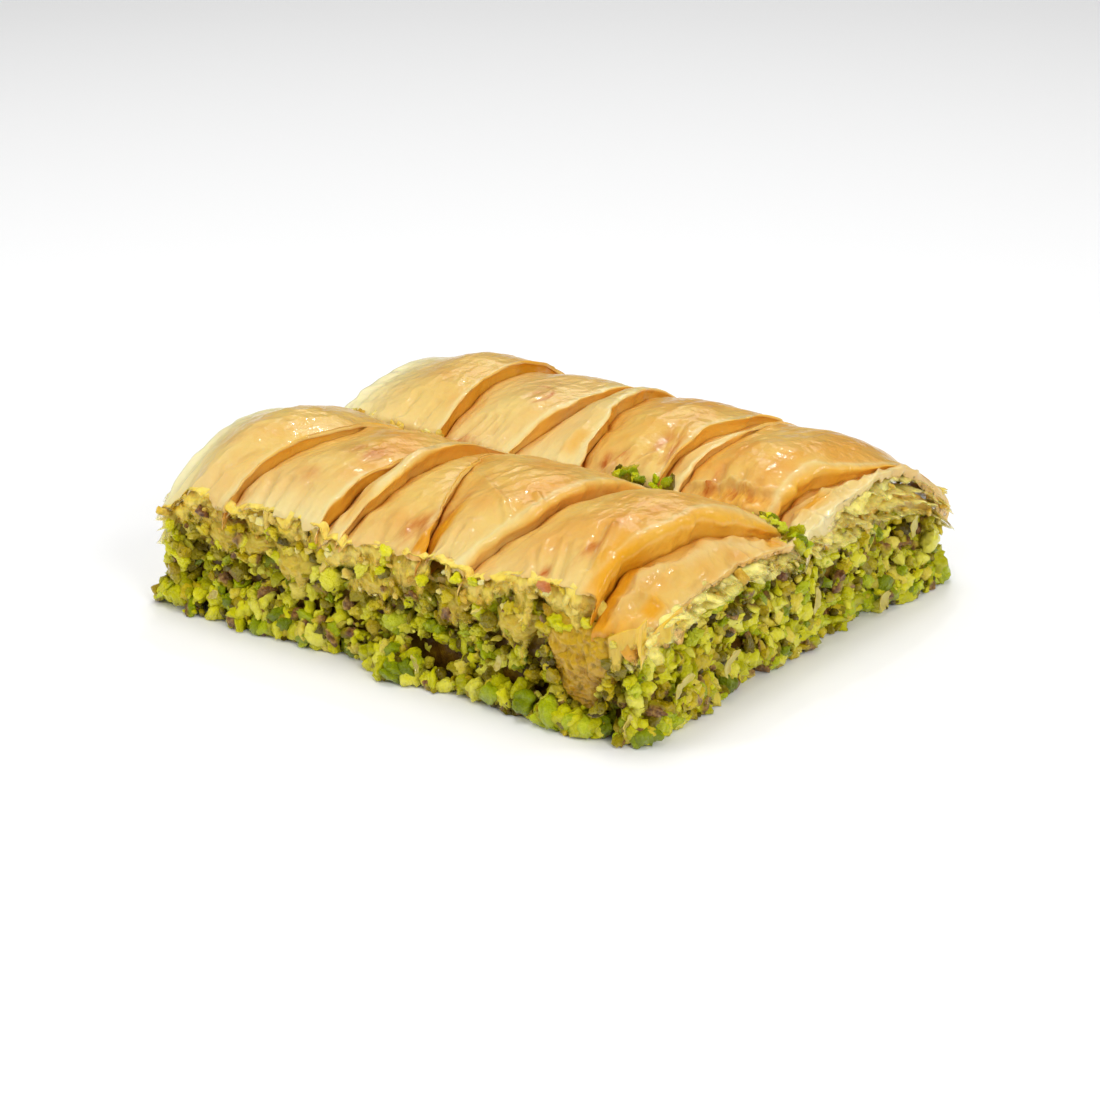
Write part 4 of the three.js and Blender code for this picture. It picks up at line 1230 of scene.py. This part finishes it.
def row_body(row):
    """One loop round the section of the row's lower layers, carried along X and drawn in to a
    point at both ends. It keeps under the low side of every fold."""
    along, over, beside = INNER_POINTS
    draw_in = np.array([0.0, 0.25, 0.5, 0.75, 0.93])
    cap = np.ones(len(draw_in))
    share = np.concatenate([0 * cap, np.linspace(0, 1, along), cap])
    x = share * (ROW_END - ROW_START - 2 * INNER_INSET) + ROW_START + INNER_INSET
    scale = np.concatenate([draw_in, np.ones(along), draw_in[::-1]])
    outer = row["outer"] - row["side"] * SKIRT_WALL
    across = np.linspace(outer, row["gap"], over)
    y = np.concatenate([across, np.full(beside, row["gap"]), across[::-1], np.full(beside, outer)])
    climb = np.linspace(0, 1, beside + 2)[1:-1]
    lift = np.concatenate([np.ones(over), 1 - climb, np.zeros(over), climb])
    grid_x, grid_y = np.meshgrid(x, y, indexing="ij")
    top = row_height(row, "top", grid_x, grid_y) - INNER_CLEARANCE_TOP
    seat = row_height(row, "seat", grid_x, grid_y) - INNER_SINK
    grid_z = seat + (np.maximum(top, seat + INNER_LEAST) - seat) * lift
    middle_y = row["crest"]
    middle_z = row_height(row, "seat", grid_x, middle_y) + 0.8
    grid_y = middle_y + (grid_y - middle_y) * scale[:, None]
    grid_z = middle_z + (grid_z - middle_z) * scale[:, None]
    at_end = smooth((np.abs(grid_x - 0.2) - 64) / 0.5)
    ragged = 0.7 * lattice_noise(81, grid_y / 3.1, grid_z / 1.1) * at_end
    return np.stack([grid_x + np.sign(grid_x) * ragged, grid_y, grid_z], -1)


def soaked_material(name, top, low, spot, torn=0.0, relief=0.0004, drawn=(1, 1, 2.2), cover=1.0,
                    hole=0.0038):
    """Soft soaked sheet: three screen colours, one at the top, one below and one in spots along
    its matted fibres, under a wet coat. It thins out towards its edge, where it is torn into
    holes by a share. cover is how opaque it is, and hole the size of its holes in metres."""
    top_color, low_color, spot_color = (linear(*color) for color in (top, low, spot))
    material, tree, shader = new_material(
        name, top_color, 0.35, Coat_Weight=0.6, Coat_Roughness=0.06, Specular_IOR_Level=0.3,
        Subsurface_Weight=0.4, Subsurface_Scale=0.002, Subsurface_Radius=(1.0, 0.6, 0.12),
    )
    plain = object_coordinate(tree)
    depth = attribute(tree, "depth")
    fibres = noise_texture(tree, 0.0012, object_coordinate(tree, stretch=drawn), Detail=6.0, Roughness=0.65)
    cloud = noise_texture(tree, 0.005, plain, Detail=5.0)
    shade = math_node(tree, "ADD", depth, math_node(tree, "SUBTRACT", cloud, 0.5), clamp=True)
    color = mixed(tree, shade, top_color, low_color)
    spots = ramp(tree, fibres, [(0.48, 0.0), (0.7, 0.7)])
    tree.links.new(mixed(tree, spots, color, spot_color), shader.inputs["Base Color"])
    if torn:
        holes = noise_texture(tree, hole, plain, Detail=5.0, Roughness=0.55)
        thin = math_node(tree, "MULTIPLY_ADD", depth, torn, holes)
        cover_stops = [(0.64, cover), (0.74, 0.5 * cover), (0.86, 0.0)]
        tree.links.new(ramp(tree, thin, cover_stops), shader.inputs["Alpha"])
    bump(tree, shader, "Normal", fibres, relief, 0.8)
    bump(tree, shader, "Coat Normal", fibres, relief, 0.4)
    return material


inner_phyllo = soaked_material("inner_phyllo", (226, 188, 84), (200, 160, 50), (178, 128, 30), relief=0.0006)
for row in (FRONT_ROW, BACK_ROW):
    body = row_body(row)
    faces = grid_faces(*body.shape[:2], wrap=True)
    if row["side"] > 0:
        faces = faces[:, ::-1]
    add_piece(
        f"{row['name']}_inner_layers", body, faces, inner_phyllo, row["node"],
        {"depth": np.zeros(body.shape[:2])},
    )


# ---------------------------------------------------------------------------------------
# Hanging rags: the lowest sheets of each row, which the knife pulled down over the outer side
# in ragged, pleated rags. Three lie over each other on a side, each longer than the one outside.
RAG_THICKNESS = 0.25
RAG_POINTS = (400, 26)
# X and height of the lowest rags on the outer side of a row.
RAG_BOTTOM = {
    "front": [
        (-66, 23), (-58, 22), (-50, 23), (-42, 23), (-34, 22.5), (-24, 21.5), (-16, 19), (-8, 16.5), (0, 17),
        (8, 18), (16, 19.5), (24, 20), (32, 19), (40, 17.5), (46, 15), (54, 14), (60, 17), (66, 21),
    ],
    "back": [(-66, 21), (-40, 19), (-12, 17.5), (14, 19.5), (38, 17), (66, 20)],
}
# Height of an outer edge where no fold is near, and the dip in the front one: X, half and depth.
BARE_EDGE = 22
EDGE_DIP_X, EDGE_DIP_HALF, EDGE_DIP_DEPTH = 55.5, 2.2, 5.0


def fold_edge(row):
    """Outer edge of all of a row's folds, as X and height along it: the highest point of their
    edges near each X, less a bell-shaped dip in the front row."""
    station = int(np.argmin(np.abs(across_stations() + 0.4)))
    edge = np.concatenate([fold_sheet(row, k)[0][:, station] for k in range(len(row["folds"]))])
    order = np.arange(ROW_START, ROW_END - 1.0, 0.5)
    highest = np.array([edge[np.abs(edge[:, 0] - x) < 0.8, 2].max(initial=BARE_EDGE) for x in order])
    dip = EDGE_DIP_DEPTH * np.exp(-((order - EDGE_DIP_X) / EDGE_DIP_HALF) ** 2)
    return order, highest - dip * (row["side"] < 0)


def hanging_layer(row, layer, share):
    """A rag over the outer side: along X by down from under the crisp edge, a share of the way
    to the row's lowest rags. It bulges as a half wave, and noise pleats it."""
    along = np.linspace(ROW_START + 0.8, ROW_END - 0.4, RAG_POINTS[0])
    x, t = np.meshgrid(along, np.linspace(0, 1, RAG_POINTS[1]), indexing="ij")
    seed = 200 + 10 * layer + (row["side"] > 0)
    top = np.interp(x, *fold_edge(row)) + 0.5 - 0.4 * layer
    low = np.interp(x, *zip(*RAG_BOTTOM[row["name"]]))
    reach = (top - low) * share * (0.8 + 0.9 * lattice_noise(seed, x / 4.5))
    reach = reach + 0.9 * lattice_noise(seed + 1, x / 1.9) + 0.4 * lattice_noise(seed + 2, x / 0.7)
    z = top - np.maximum(reach, 0.8) * t
    out = 0.1 - 0.3 * layer + 0.6 * np.sin(np.pi * np.clip(t, 0, 0.9)) - 1.4 * (1 - t) ** 4
    out = out + (0.3 + 0.5 * t) * lattice_noise(seed + 3, x / 3.1, z / 3.4)
    out = out + 0.35 * lattice_noise(seed + 4, x / 1.1, z / 1.5)
    out = out - 2.5 * smooth((x - 50) / 3) * (row["side"] < 0)
    return np.stack([x, row["outer"] + row["side"] * out, z], -1), {"depth": t}


def add_sheet(name, row, points, shares, material, thickness):
    """A thin soaked sheet of a row, from a grid of points. Its faces are turned to point away from
    the row: outwards and up, and out past its end where the sheet is short along X."""
    outward = surface_normals(points).sum(axis=(0, 1))
    faces = grid_faces(*points.shape[:2])
    toward = np.array([points[..., 0].mean() * (np.ptp(points[..., 0]) < 15), row["side"] * 20.0, 5.0])
    if outward @ toward < 0:
        faces = faces[:, ::-1]
    sheet = add_piece(name, points, faces, material, row["node"], shares)
    thicken(sheet, thickness)


tan_phyllo = soaked_material(
    "tan_soaked_phyllo", (252, 216, 104), (250, 206, 68), (234, 170, 42), torn=0.42,
)
olive_phyllo = soaked_material(
    "olive_soaked_phyllo", (252, 214, 82), (246, 204, 48), (226, 166, 28), torn=0.42,
)
# Share of the way down to the lowest rags, and material, from the outermost rag inwards.
HANGING_LAYERS = [(0.3, tan_phyllo), (0.65, tan_phyllo), (1.0, olive_phyllo)]
for row in (FRONT_ROW, BACK_ROW):
    for layer, (share, material) in enumerate(HANGING_LAYERS):
        points, shares = hanging_layer(row, layer, share)
        add_sheet(f"{row['name']}_hanging_layer_{layer + 1}", row, points, shares, material, RAG_THICKNESS)


# ---------------------------------------------------------------------------------------
# End layers: the sheets of each row whose cut edges show at its two ends. Soaked and torn by the
# knife, they run out past the nuts and droop over them.
END_SHEET_THICKNESS = 0.22
END_SHEET_POINTS = (110, 9)
END_SHEET_RUN = 4.5
END_LAYERS = [
    # share of the way from seat to top, reach past the end, droop
    (0.0, 1.2, 1.6), (0.3, 2.4, 2.4), (0.6, 2.0, 1.6), (0.88, 1.5, 2.2),
]


def end_layer(row, end, share, reach, droop, seed):
    """One sheet at a row's end. It lies at a share of the way from the seat to the top, runs out
    past the nuts by a ragged reach, and droops by a power of the way out."""
    sign = 1 if end == "right" else -1
    edge = ROW_END if sign > 0 else ROW_START
    inset = row["side"] * 0.5
    across = np.linspace(row["outer"] - inset, row["gap"] + inset, END_SHEET_POINTS[0])
    y, t = np.meshgrid(across, np.linspace(0, 1, END_SHEET_POINTS[1]), indexing="ij")
    ragged = reach * (0.6 + 0.9 * lattice_noise(seed, y / 3.5)) + 0.6 * lattice_noise(seed + 1, y / 1.3)
    x = edge - sign * (END_SHEET_RUN * (1 - t) - ragged * t ** 1.5)
    top = row_height(row, "top", edge, y) - 0.9
    seat = row_height(row, "seat", edge, y) - 0.6
    z = seat + (top - seat) * share - droop * (0.6 + 0.6 * lattice_noise(seed + 2, y / 6)) * t ** 2.2
    z = z + (0.2 + 0.6 * t) * lattice_noise(seed + 3, y / 2.6, x / 5)
    x = x + 0.5 * lattice_noise(seed + 4, y / 1.1, z / 1.5) * t
    return np.stack([x, y, z], -1), {"depth": t}


end_phyllo = soaked_material(
    "end_phyllo", (246, 220, 104), (250, 234, 140), (240, 204, 76), torn=0.3, relief=0.0002,
)
for row in (FRONT_ROW, BACK_ROW):
    for end in ("left", "right"):
        for layer, (share, reach, droop) in enumerate(END_LAYERS):
            seed = 400 + 50 * layer + 7 * (end == "left") + 13 * (row["side"] > 0)
            points, shares = end_layer(row, end, share, reach, droop, seed)
            name = f"{row['name']}_{end}_end_layer_{layer + 1}"
            add_sheet(name, row, points, shares, end_phyllo, END_SHEET_THICKNESS)


# ---------------------------------------------------------------------------------------
# Slumped lobes: matted sheets that slid down over the nuts on the front. Three thick amber ones
# lie over each other near the corner, and six thin pale veils hang along the row.
LOBE_THICKNESS = 0.25
AMBER_LOBES = 3
LOBES = [
    # seed, middle and half width along X, top, bottom, bulge, steps across
    (310, LOBE_X, 9.8, 24.5, 6.5, 2.0, 90), (330, 46.5, 6.5, 25.5, 13.0, 1.8, 60),
    (350, 56.5, 6.0, 23.5, 10.5, 2.3, 60), (370, 34.5, 7.0, 22.5, 14.5, 1.0, 50),
    (390, -3.0, 7.0, 23.0, 15.5, 0.8, 50), (410, -38.0, 8.0, 23.0, 17.0, 0.7, 50),
    (420, -46.0, 7.0, 24.0, 15.5, 0.9, 50), (425, -25.0, 9.0, 24.0, 13.5, 1.0, 50),
    (435, 19.0, 6.0, 23.0, 15.0, 0.8, 50),
]
# Size and depth of the folded-up noise that mats a lobe.
MATTING = [(3.0, 0.5), (1.3, 0.35), (0.6, 0.2)]
LOBE_SET_BACK = 1.4


def soaked_lobe(seed, middle, half, high, low, bulge, steps):
    """A tongue of matted sheets from high to low, which narrows on its way down. It swells as a
    half circle across by a half wave down, and folded-up noise in three sizes mats its fibres."""
    s, t = np.meshgrid(np.linspace(-1, 1, steps), np.linspace(0, 1, int(0.8 * steps)), indexing="ij")
    width = half * (1 - 0.5 * t ** 1.5) + 1.1 * lattice_noise(seed + 1, t * 6, np.sign(s)) * smooth(t / 0.2)
    x = middle + width * s + 0.8 * lattice_noise(seed + 2, t * 4, s)
    bottom = low + 3.0 * np.abs(s) ** 2.5 + 1.4 * lattice_noise(seed + 2, s * 5, 0 * s)
    z = high + (bottom - high) * t
    swell = np.sqrt(np.maximum(1 - s ** 2, 0)) * np.sin(np.pi * np.clip(0.05 + 0.85 * t, 0, 1))
    out = (bulge + LOBE_SET_BACK) * swell - LOBE_SET_BACK
    warp = 0.8 * lattice_noise(seed + 6, x / 3, z / 3)
    for size, depth in MATTING:
        way = (x + warp + 0.5 * z) / (1.6 * size), (z + warp) / size
        out = out + depth * (1 - 2 * np.abs(lattice_noise(seed + int(10 * size), *way)))
    y = FRONT_ROW["outer"] - out + 2.0 * np.abs(s) ** 4
    return np.stack([x, y, z], -1), {"depth": np.maximum(t ** 3, np.abs(s) ** 8)}


amber_phyllo = soaked_material(
    "amber_soaked_phyllo", (214, 164, 34), (166, 118, 6), (134, 84, 0),
    torn=0.22, relief=0.0007, drawn=(1.4, 1.4, 1.8), hole=0.0025,
)
veil_phyllo = soaked_material(
    "thin_veils", (250, 212, 84), (242, 198, 52), (224, 168, 34),
    torn=0.45, relief=0.0003, drawn=(2, 2, 1), cover=0.6,
)
for number, lobe in enumerate(LOBES):
    points, shares = soaked_lobe(*lobe)
    material = amber_phyllo if number < AMBER_LOBES else veil_phyllo
    add_sheet(f"soaked_lobe_{number + 1}", FRONT_ROW, points, shares, material, LOBE_THICKNESS)


# ---------------------------------------------------------------------------------------
# Corner flakes: two pale crisp sheets that broke loose at the near corner and hang round it,
# one over the bend from the front and one on the end.
FLAKE_THICKNESS = 0.2
FLAKE_POINTS = (70, 24)
CORNER_BEND = 66.2
FLAKES = [
    # seed, from and to round the corner, top, bottom, shift along Y
    (440, 66.5, 80.0, 25.6, 20.0, -1.2), (460, 59.0, 69.5, 26.5, 18.5, -1.8),
]


def corner_flake(seed, run_from, run_to, high, low, y_shift):
    """A sheet round the corner: its run goes along X up to the bend and along Y past it, by a
    smooth step from one to the other, and noise along it scallops its lower edge."""
    u, t = np.meshgrid(*(np.linspace(0, 1, count) for count in FLAKE_POINTS), indexing="ij")
    run = run_from + (run_to - run_from) * u
    past = run - CORNER_BEND
    turned = smooth((past + 2.5) / 5)
    x = run - past * turned * 0.95
    y = FRONT_ROW["outer"] + y_shift + np.maximum(past, 0) * turned
    scallops = 0.28 * lattice_noise(seed, u * 5, 0 * u) + 0.12 * lattice_noise(seed + 1, u * 19, 0 * u)
    z = high - (high - low) * (0.72 + scallops) * t - 3.2 * (1 - u) ** 2 + 1.5 * u
    fold = lattice_noise(seed + 2, u * 9 + 0.5 * t, 0 * t) * (0.3 + 0.9 * t)
    x = x + fold * turned * 0.8 + 0.3 * t
    y = y - fold * (1 - turned) * 0.8
    return np.stack([x, y, z], -1), {"depth": t ** 3}


flake_phyllo = soaked_material(
    "flake_phyllo", (224, 178, 60), (234, 198, 70), (216, 160, 42), torn=0.25, relief=0.0002,
)
for number, flake in enumerate(FLAKES):
    points, shares = corner_flake(*flake)
    add_sheet(f"corner_flake_{number + 1}", FRONT_ROW, points, shares, flake_phyllo, FLAKE_THICKNESS)


# ---------------------------------------------------------------------------------------
# Pastry crumbs: bits of phyllo that broke off under the knife, stuck with syrup to the cut ends
# of the rows and among the rags on their outer sides.
crumb_phyllo = nut_material(
    "phyllo_crumbs", 0.36, (196, 148, 36), (236, 196, 78), (246, 220, 110), (252, 238, 160),
)
flake_shapes = chopped_shapes(nut_rng, 40, 3, 5, 0.6)
CRUMBS_AN_END, CRUMBS_A_SIDE = 26, 80
CRUMB_STRETCH = 0.45


def scatter_pastry_crumbs(name, places, small, large, node):
    """Pastry crumbs at places, with radii spread evenly between two sizes."""
    sizes = nut_rng.uniform(small, large, len(places))
    scatter_lumps(
        name, nut_rng, flake_shapes, places, sizes, CRUMB_STRETCH, 0, crumb_phyllo, node,
    )


for row in (FRONT_ROW, BACK_ROW):
    across = row["gap"] + (row["outer"] - row["gap"]) * nut_rng.uniform(0.02, 1, 2 * CRUMBS_AN_END)
    end = np.repeat([ROW_START, ROW_END], CRUMBS_AN_END)
    seat, top = (row_height(row, kind, end, across) for kind in ("seat", "top"))
    high = seat - 1.2 + (top - seat - 1.5) * nut_rng.random(2 * CRUMBS_AN_END) ** 1.8
    x = end + np.sign(end) * nut_rng.uniform(-1.5, 0.2, 2 * CRUMBS_AN_END)
    places = np.stack([x, across, high], -1)
    scatter_pastry_crumbs(f"{row['name']}_end_crumbs", places, 0.4, 1.1, row["node"])
    along = nut_rng.uniform(-64, 65, CRUMBS_A_SIDE)
    low = np.interp(along, *zip(*RAG_BOTTOM[row["name"]])) - 1
    high = low + (np.interp(along, *fold_edge(row)) - 1.0 - low) * nut_rng.random(CRUMBS_A_SIDE)
    y = row["outer"] + row["side"] * nut_rng.uniform(-0.4, 0.9, CRUMBS_A_SIDE)
    places = np.stack([along, y, high], -1)
    scatter_pastry_crumbs(f"{row['name']}_side_crumbs", places, 0.4, 1.1, row["node"])


# ---------------------------------------------------------------------------------------
# Nuts round the largest lobe: small pieces of the filling that its matted edge picked up as it
# slid down. They follow both edges of the lobe, as it narrows on its way down.
RIM_NUTS = 60
RIM_HALF = 9.6
RIM_TOP, RIM_FALL = 23, 16.5
rim_t = nut_rng.random(RIM_NUTS)
rim_side = np.repeat([-1, 1], RIM_NUTS // 2)
rim_x = LOBE_X + RIM_HALF * (1 - 0.5 * rim_t ** 1.5) * rim_side * nut_rng.uniform(0.8, 1.1, RIM_NUTS)
rim_y = nut_rng.uniform(-59.6, -58.0, RIM_NUTS)
rim_places = np.stack([rim_x, rim_y, RIM_TOP - RIM_FALL * rim_t], -1)
for name, material, first in (("lobe_nuts_golden", golden_nut, 0), ("lobe_nuts_olive", olive_nut, 1)):
    places = rim_places[first::2]
    radius = nut_rng.uniform(0.6, 1.5, len(places))
    scatter_lumps(name, nut_rng, nut_shapes, places, radius, 0.25, 0.1, material)


# ---------------------------------------------------------------------------------------
# Crumbs in the gap: bits of the back row that fell between the rows, left of the middle, where
# no nuts show. They lie along the inner edge of the back row.
CRUMBS_IN_GAP = 40
gap_x = nut_rng.uniform(-63, -32, CRUMBS_IN_GAP)
gap_y = nut_rng.uniform(0.2, 4.2, CRUMBS_IN_GAP)
gap_z = nut_rng.uniform(28.4, 30.0, CRUMBS_IN_GAP)
scatter_pastry_crumbs("gap_crumbs", np.stack([gap_x, gap_y, gap_z], -1), 0.5, 1.2, "pastry_back_row")


# ---------------------------------------------------------------------------------------
# Slivers: thin curled splinters of dry pastry and nut skin that stick out between the nuts, five
# of them at the right end, one at the near corner and three low on the front.
SLIVER_THICKNESS = 0.2
SLIVERS = [
    # place, way, length, width, curl
    ((65.9, -43.9, 9.6), (0, 0.9, 0.5), 7.0, 2.0, 0.7), ((65.8, -27, 8.9), (0, 0.8, 0.7), 6.5, 2.2, 0.8),
    ((65.6, 32.8, 3.4), (0, 0.7, 0.7), 4.5, 3.6, 0.3), ((65.2, 6.5, 11.5), (0, 0.1, 1), 6.0, 2.0, -0.5),
    ((65.2, 45, 17), (0, 0.4, 1), 5.0, 2.2, 0.4), ((9, -59.0, 5.2), (-0.4, 0, 1), 4.0, 1.3, 0.4),
    ((30, -57.6, 10.2), (0.3, 0, 1), 3.6, 1.7, 0.4), ((-49, -58.2, 6.5), (0.8, 0, 0.6), 3.6, 1.7, 0.4),
    ((62.5, -57.8, 4.8), (0.2, 0, 1), 5.0, 2.2, 0.3),
]


def sliver(place, way, length, width, curl, seed):
    """A splinter along its length, across a width that narrows to both ends by the square of the
    way from its middle, and bent out of its plane in the same way."""
    s, t = np.meshgrid(np.linspace(-1, 1, 16), np.linspace(-1, 1, 6), indexing="ij")
    way = np.array(way, float) / np.linalg.norm(way)
    out = np.array((1, 0, 0) if place[0] > 62 else (0, -1, 0), float)
    flat = np.cross(way, out)
    half = width / 2 * (1 - 0.75 * s ** 2) * (1 + 0.3 * lattice_noise(seed, s * 4))
    bend = curl * s ** 2 + 0.3 * t ** 2 + 0.3 * lattice_noise(seed + 1, s * 3, t)
    offset = (length / 2 * s)[..., None] * way + (half * t)[..., None] * flat + bend[..., None] * out
    return np.array(place) + offset, {"depth": 0.5 * np.abs(s)}


sliver_phyllo = soaked_material(
    "dry_slivers", (196, 176, 84), (214, 196, 110), (176, 142, 60), relief=0.0002,
)
for number, shape in enumerate(SLIVERS):
    points, shares = sliver(*shape, 500 + 3 * number)
    add_sheet(f"sliver_{number + 1}", FRONT_ROW, points, shares, sliver_phyllo, SLIVER_THICKNESS)
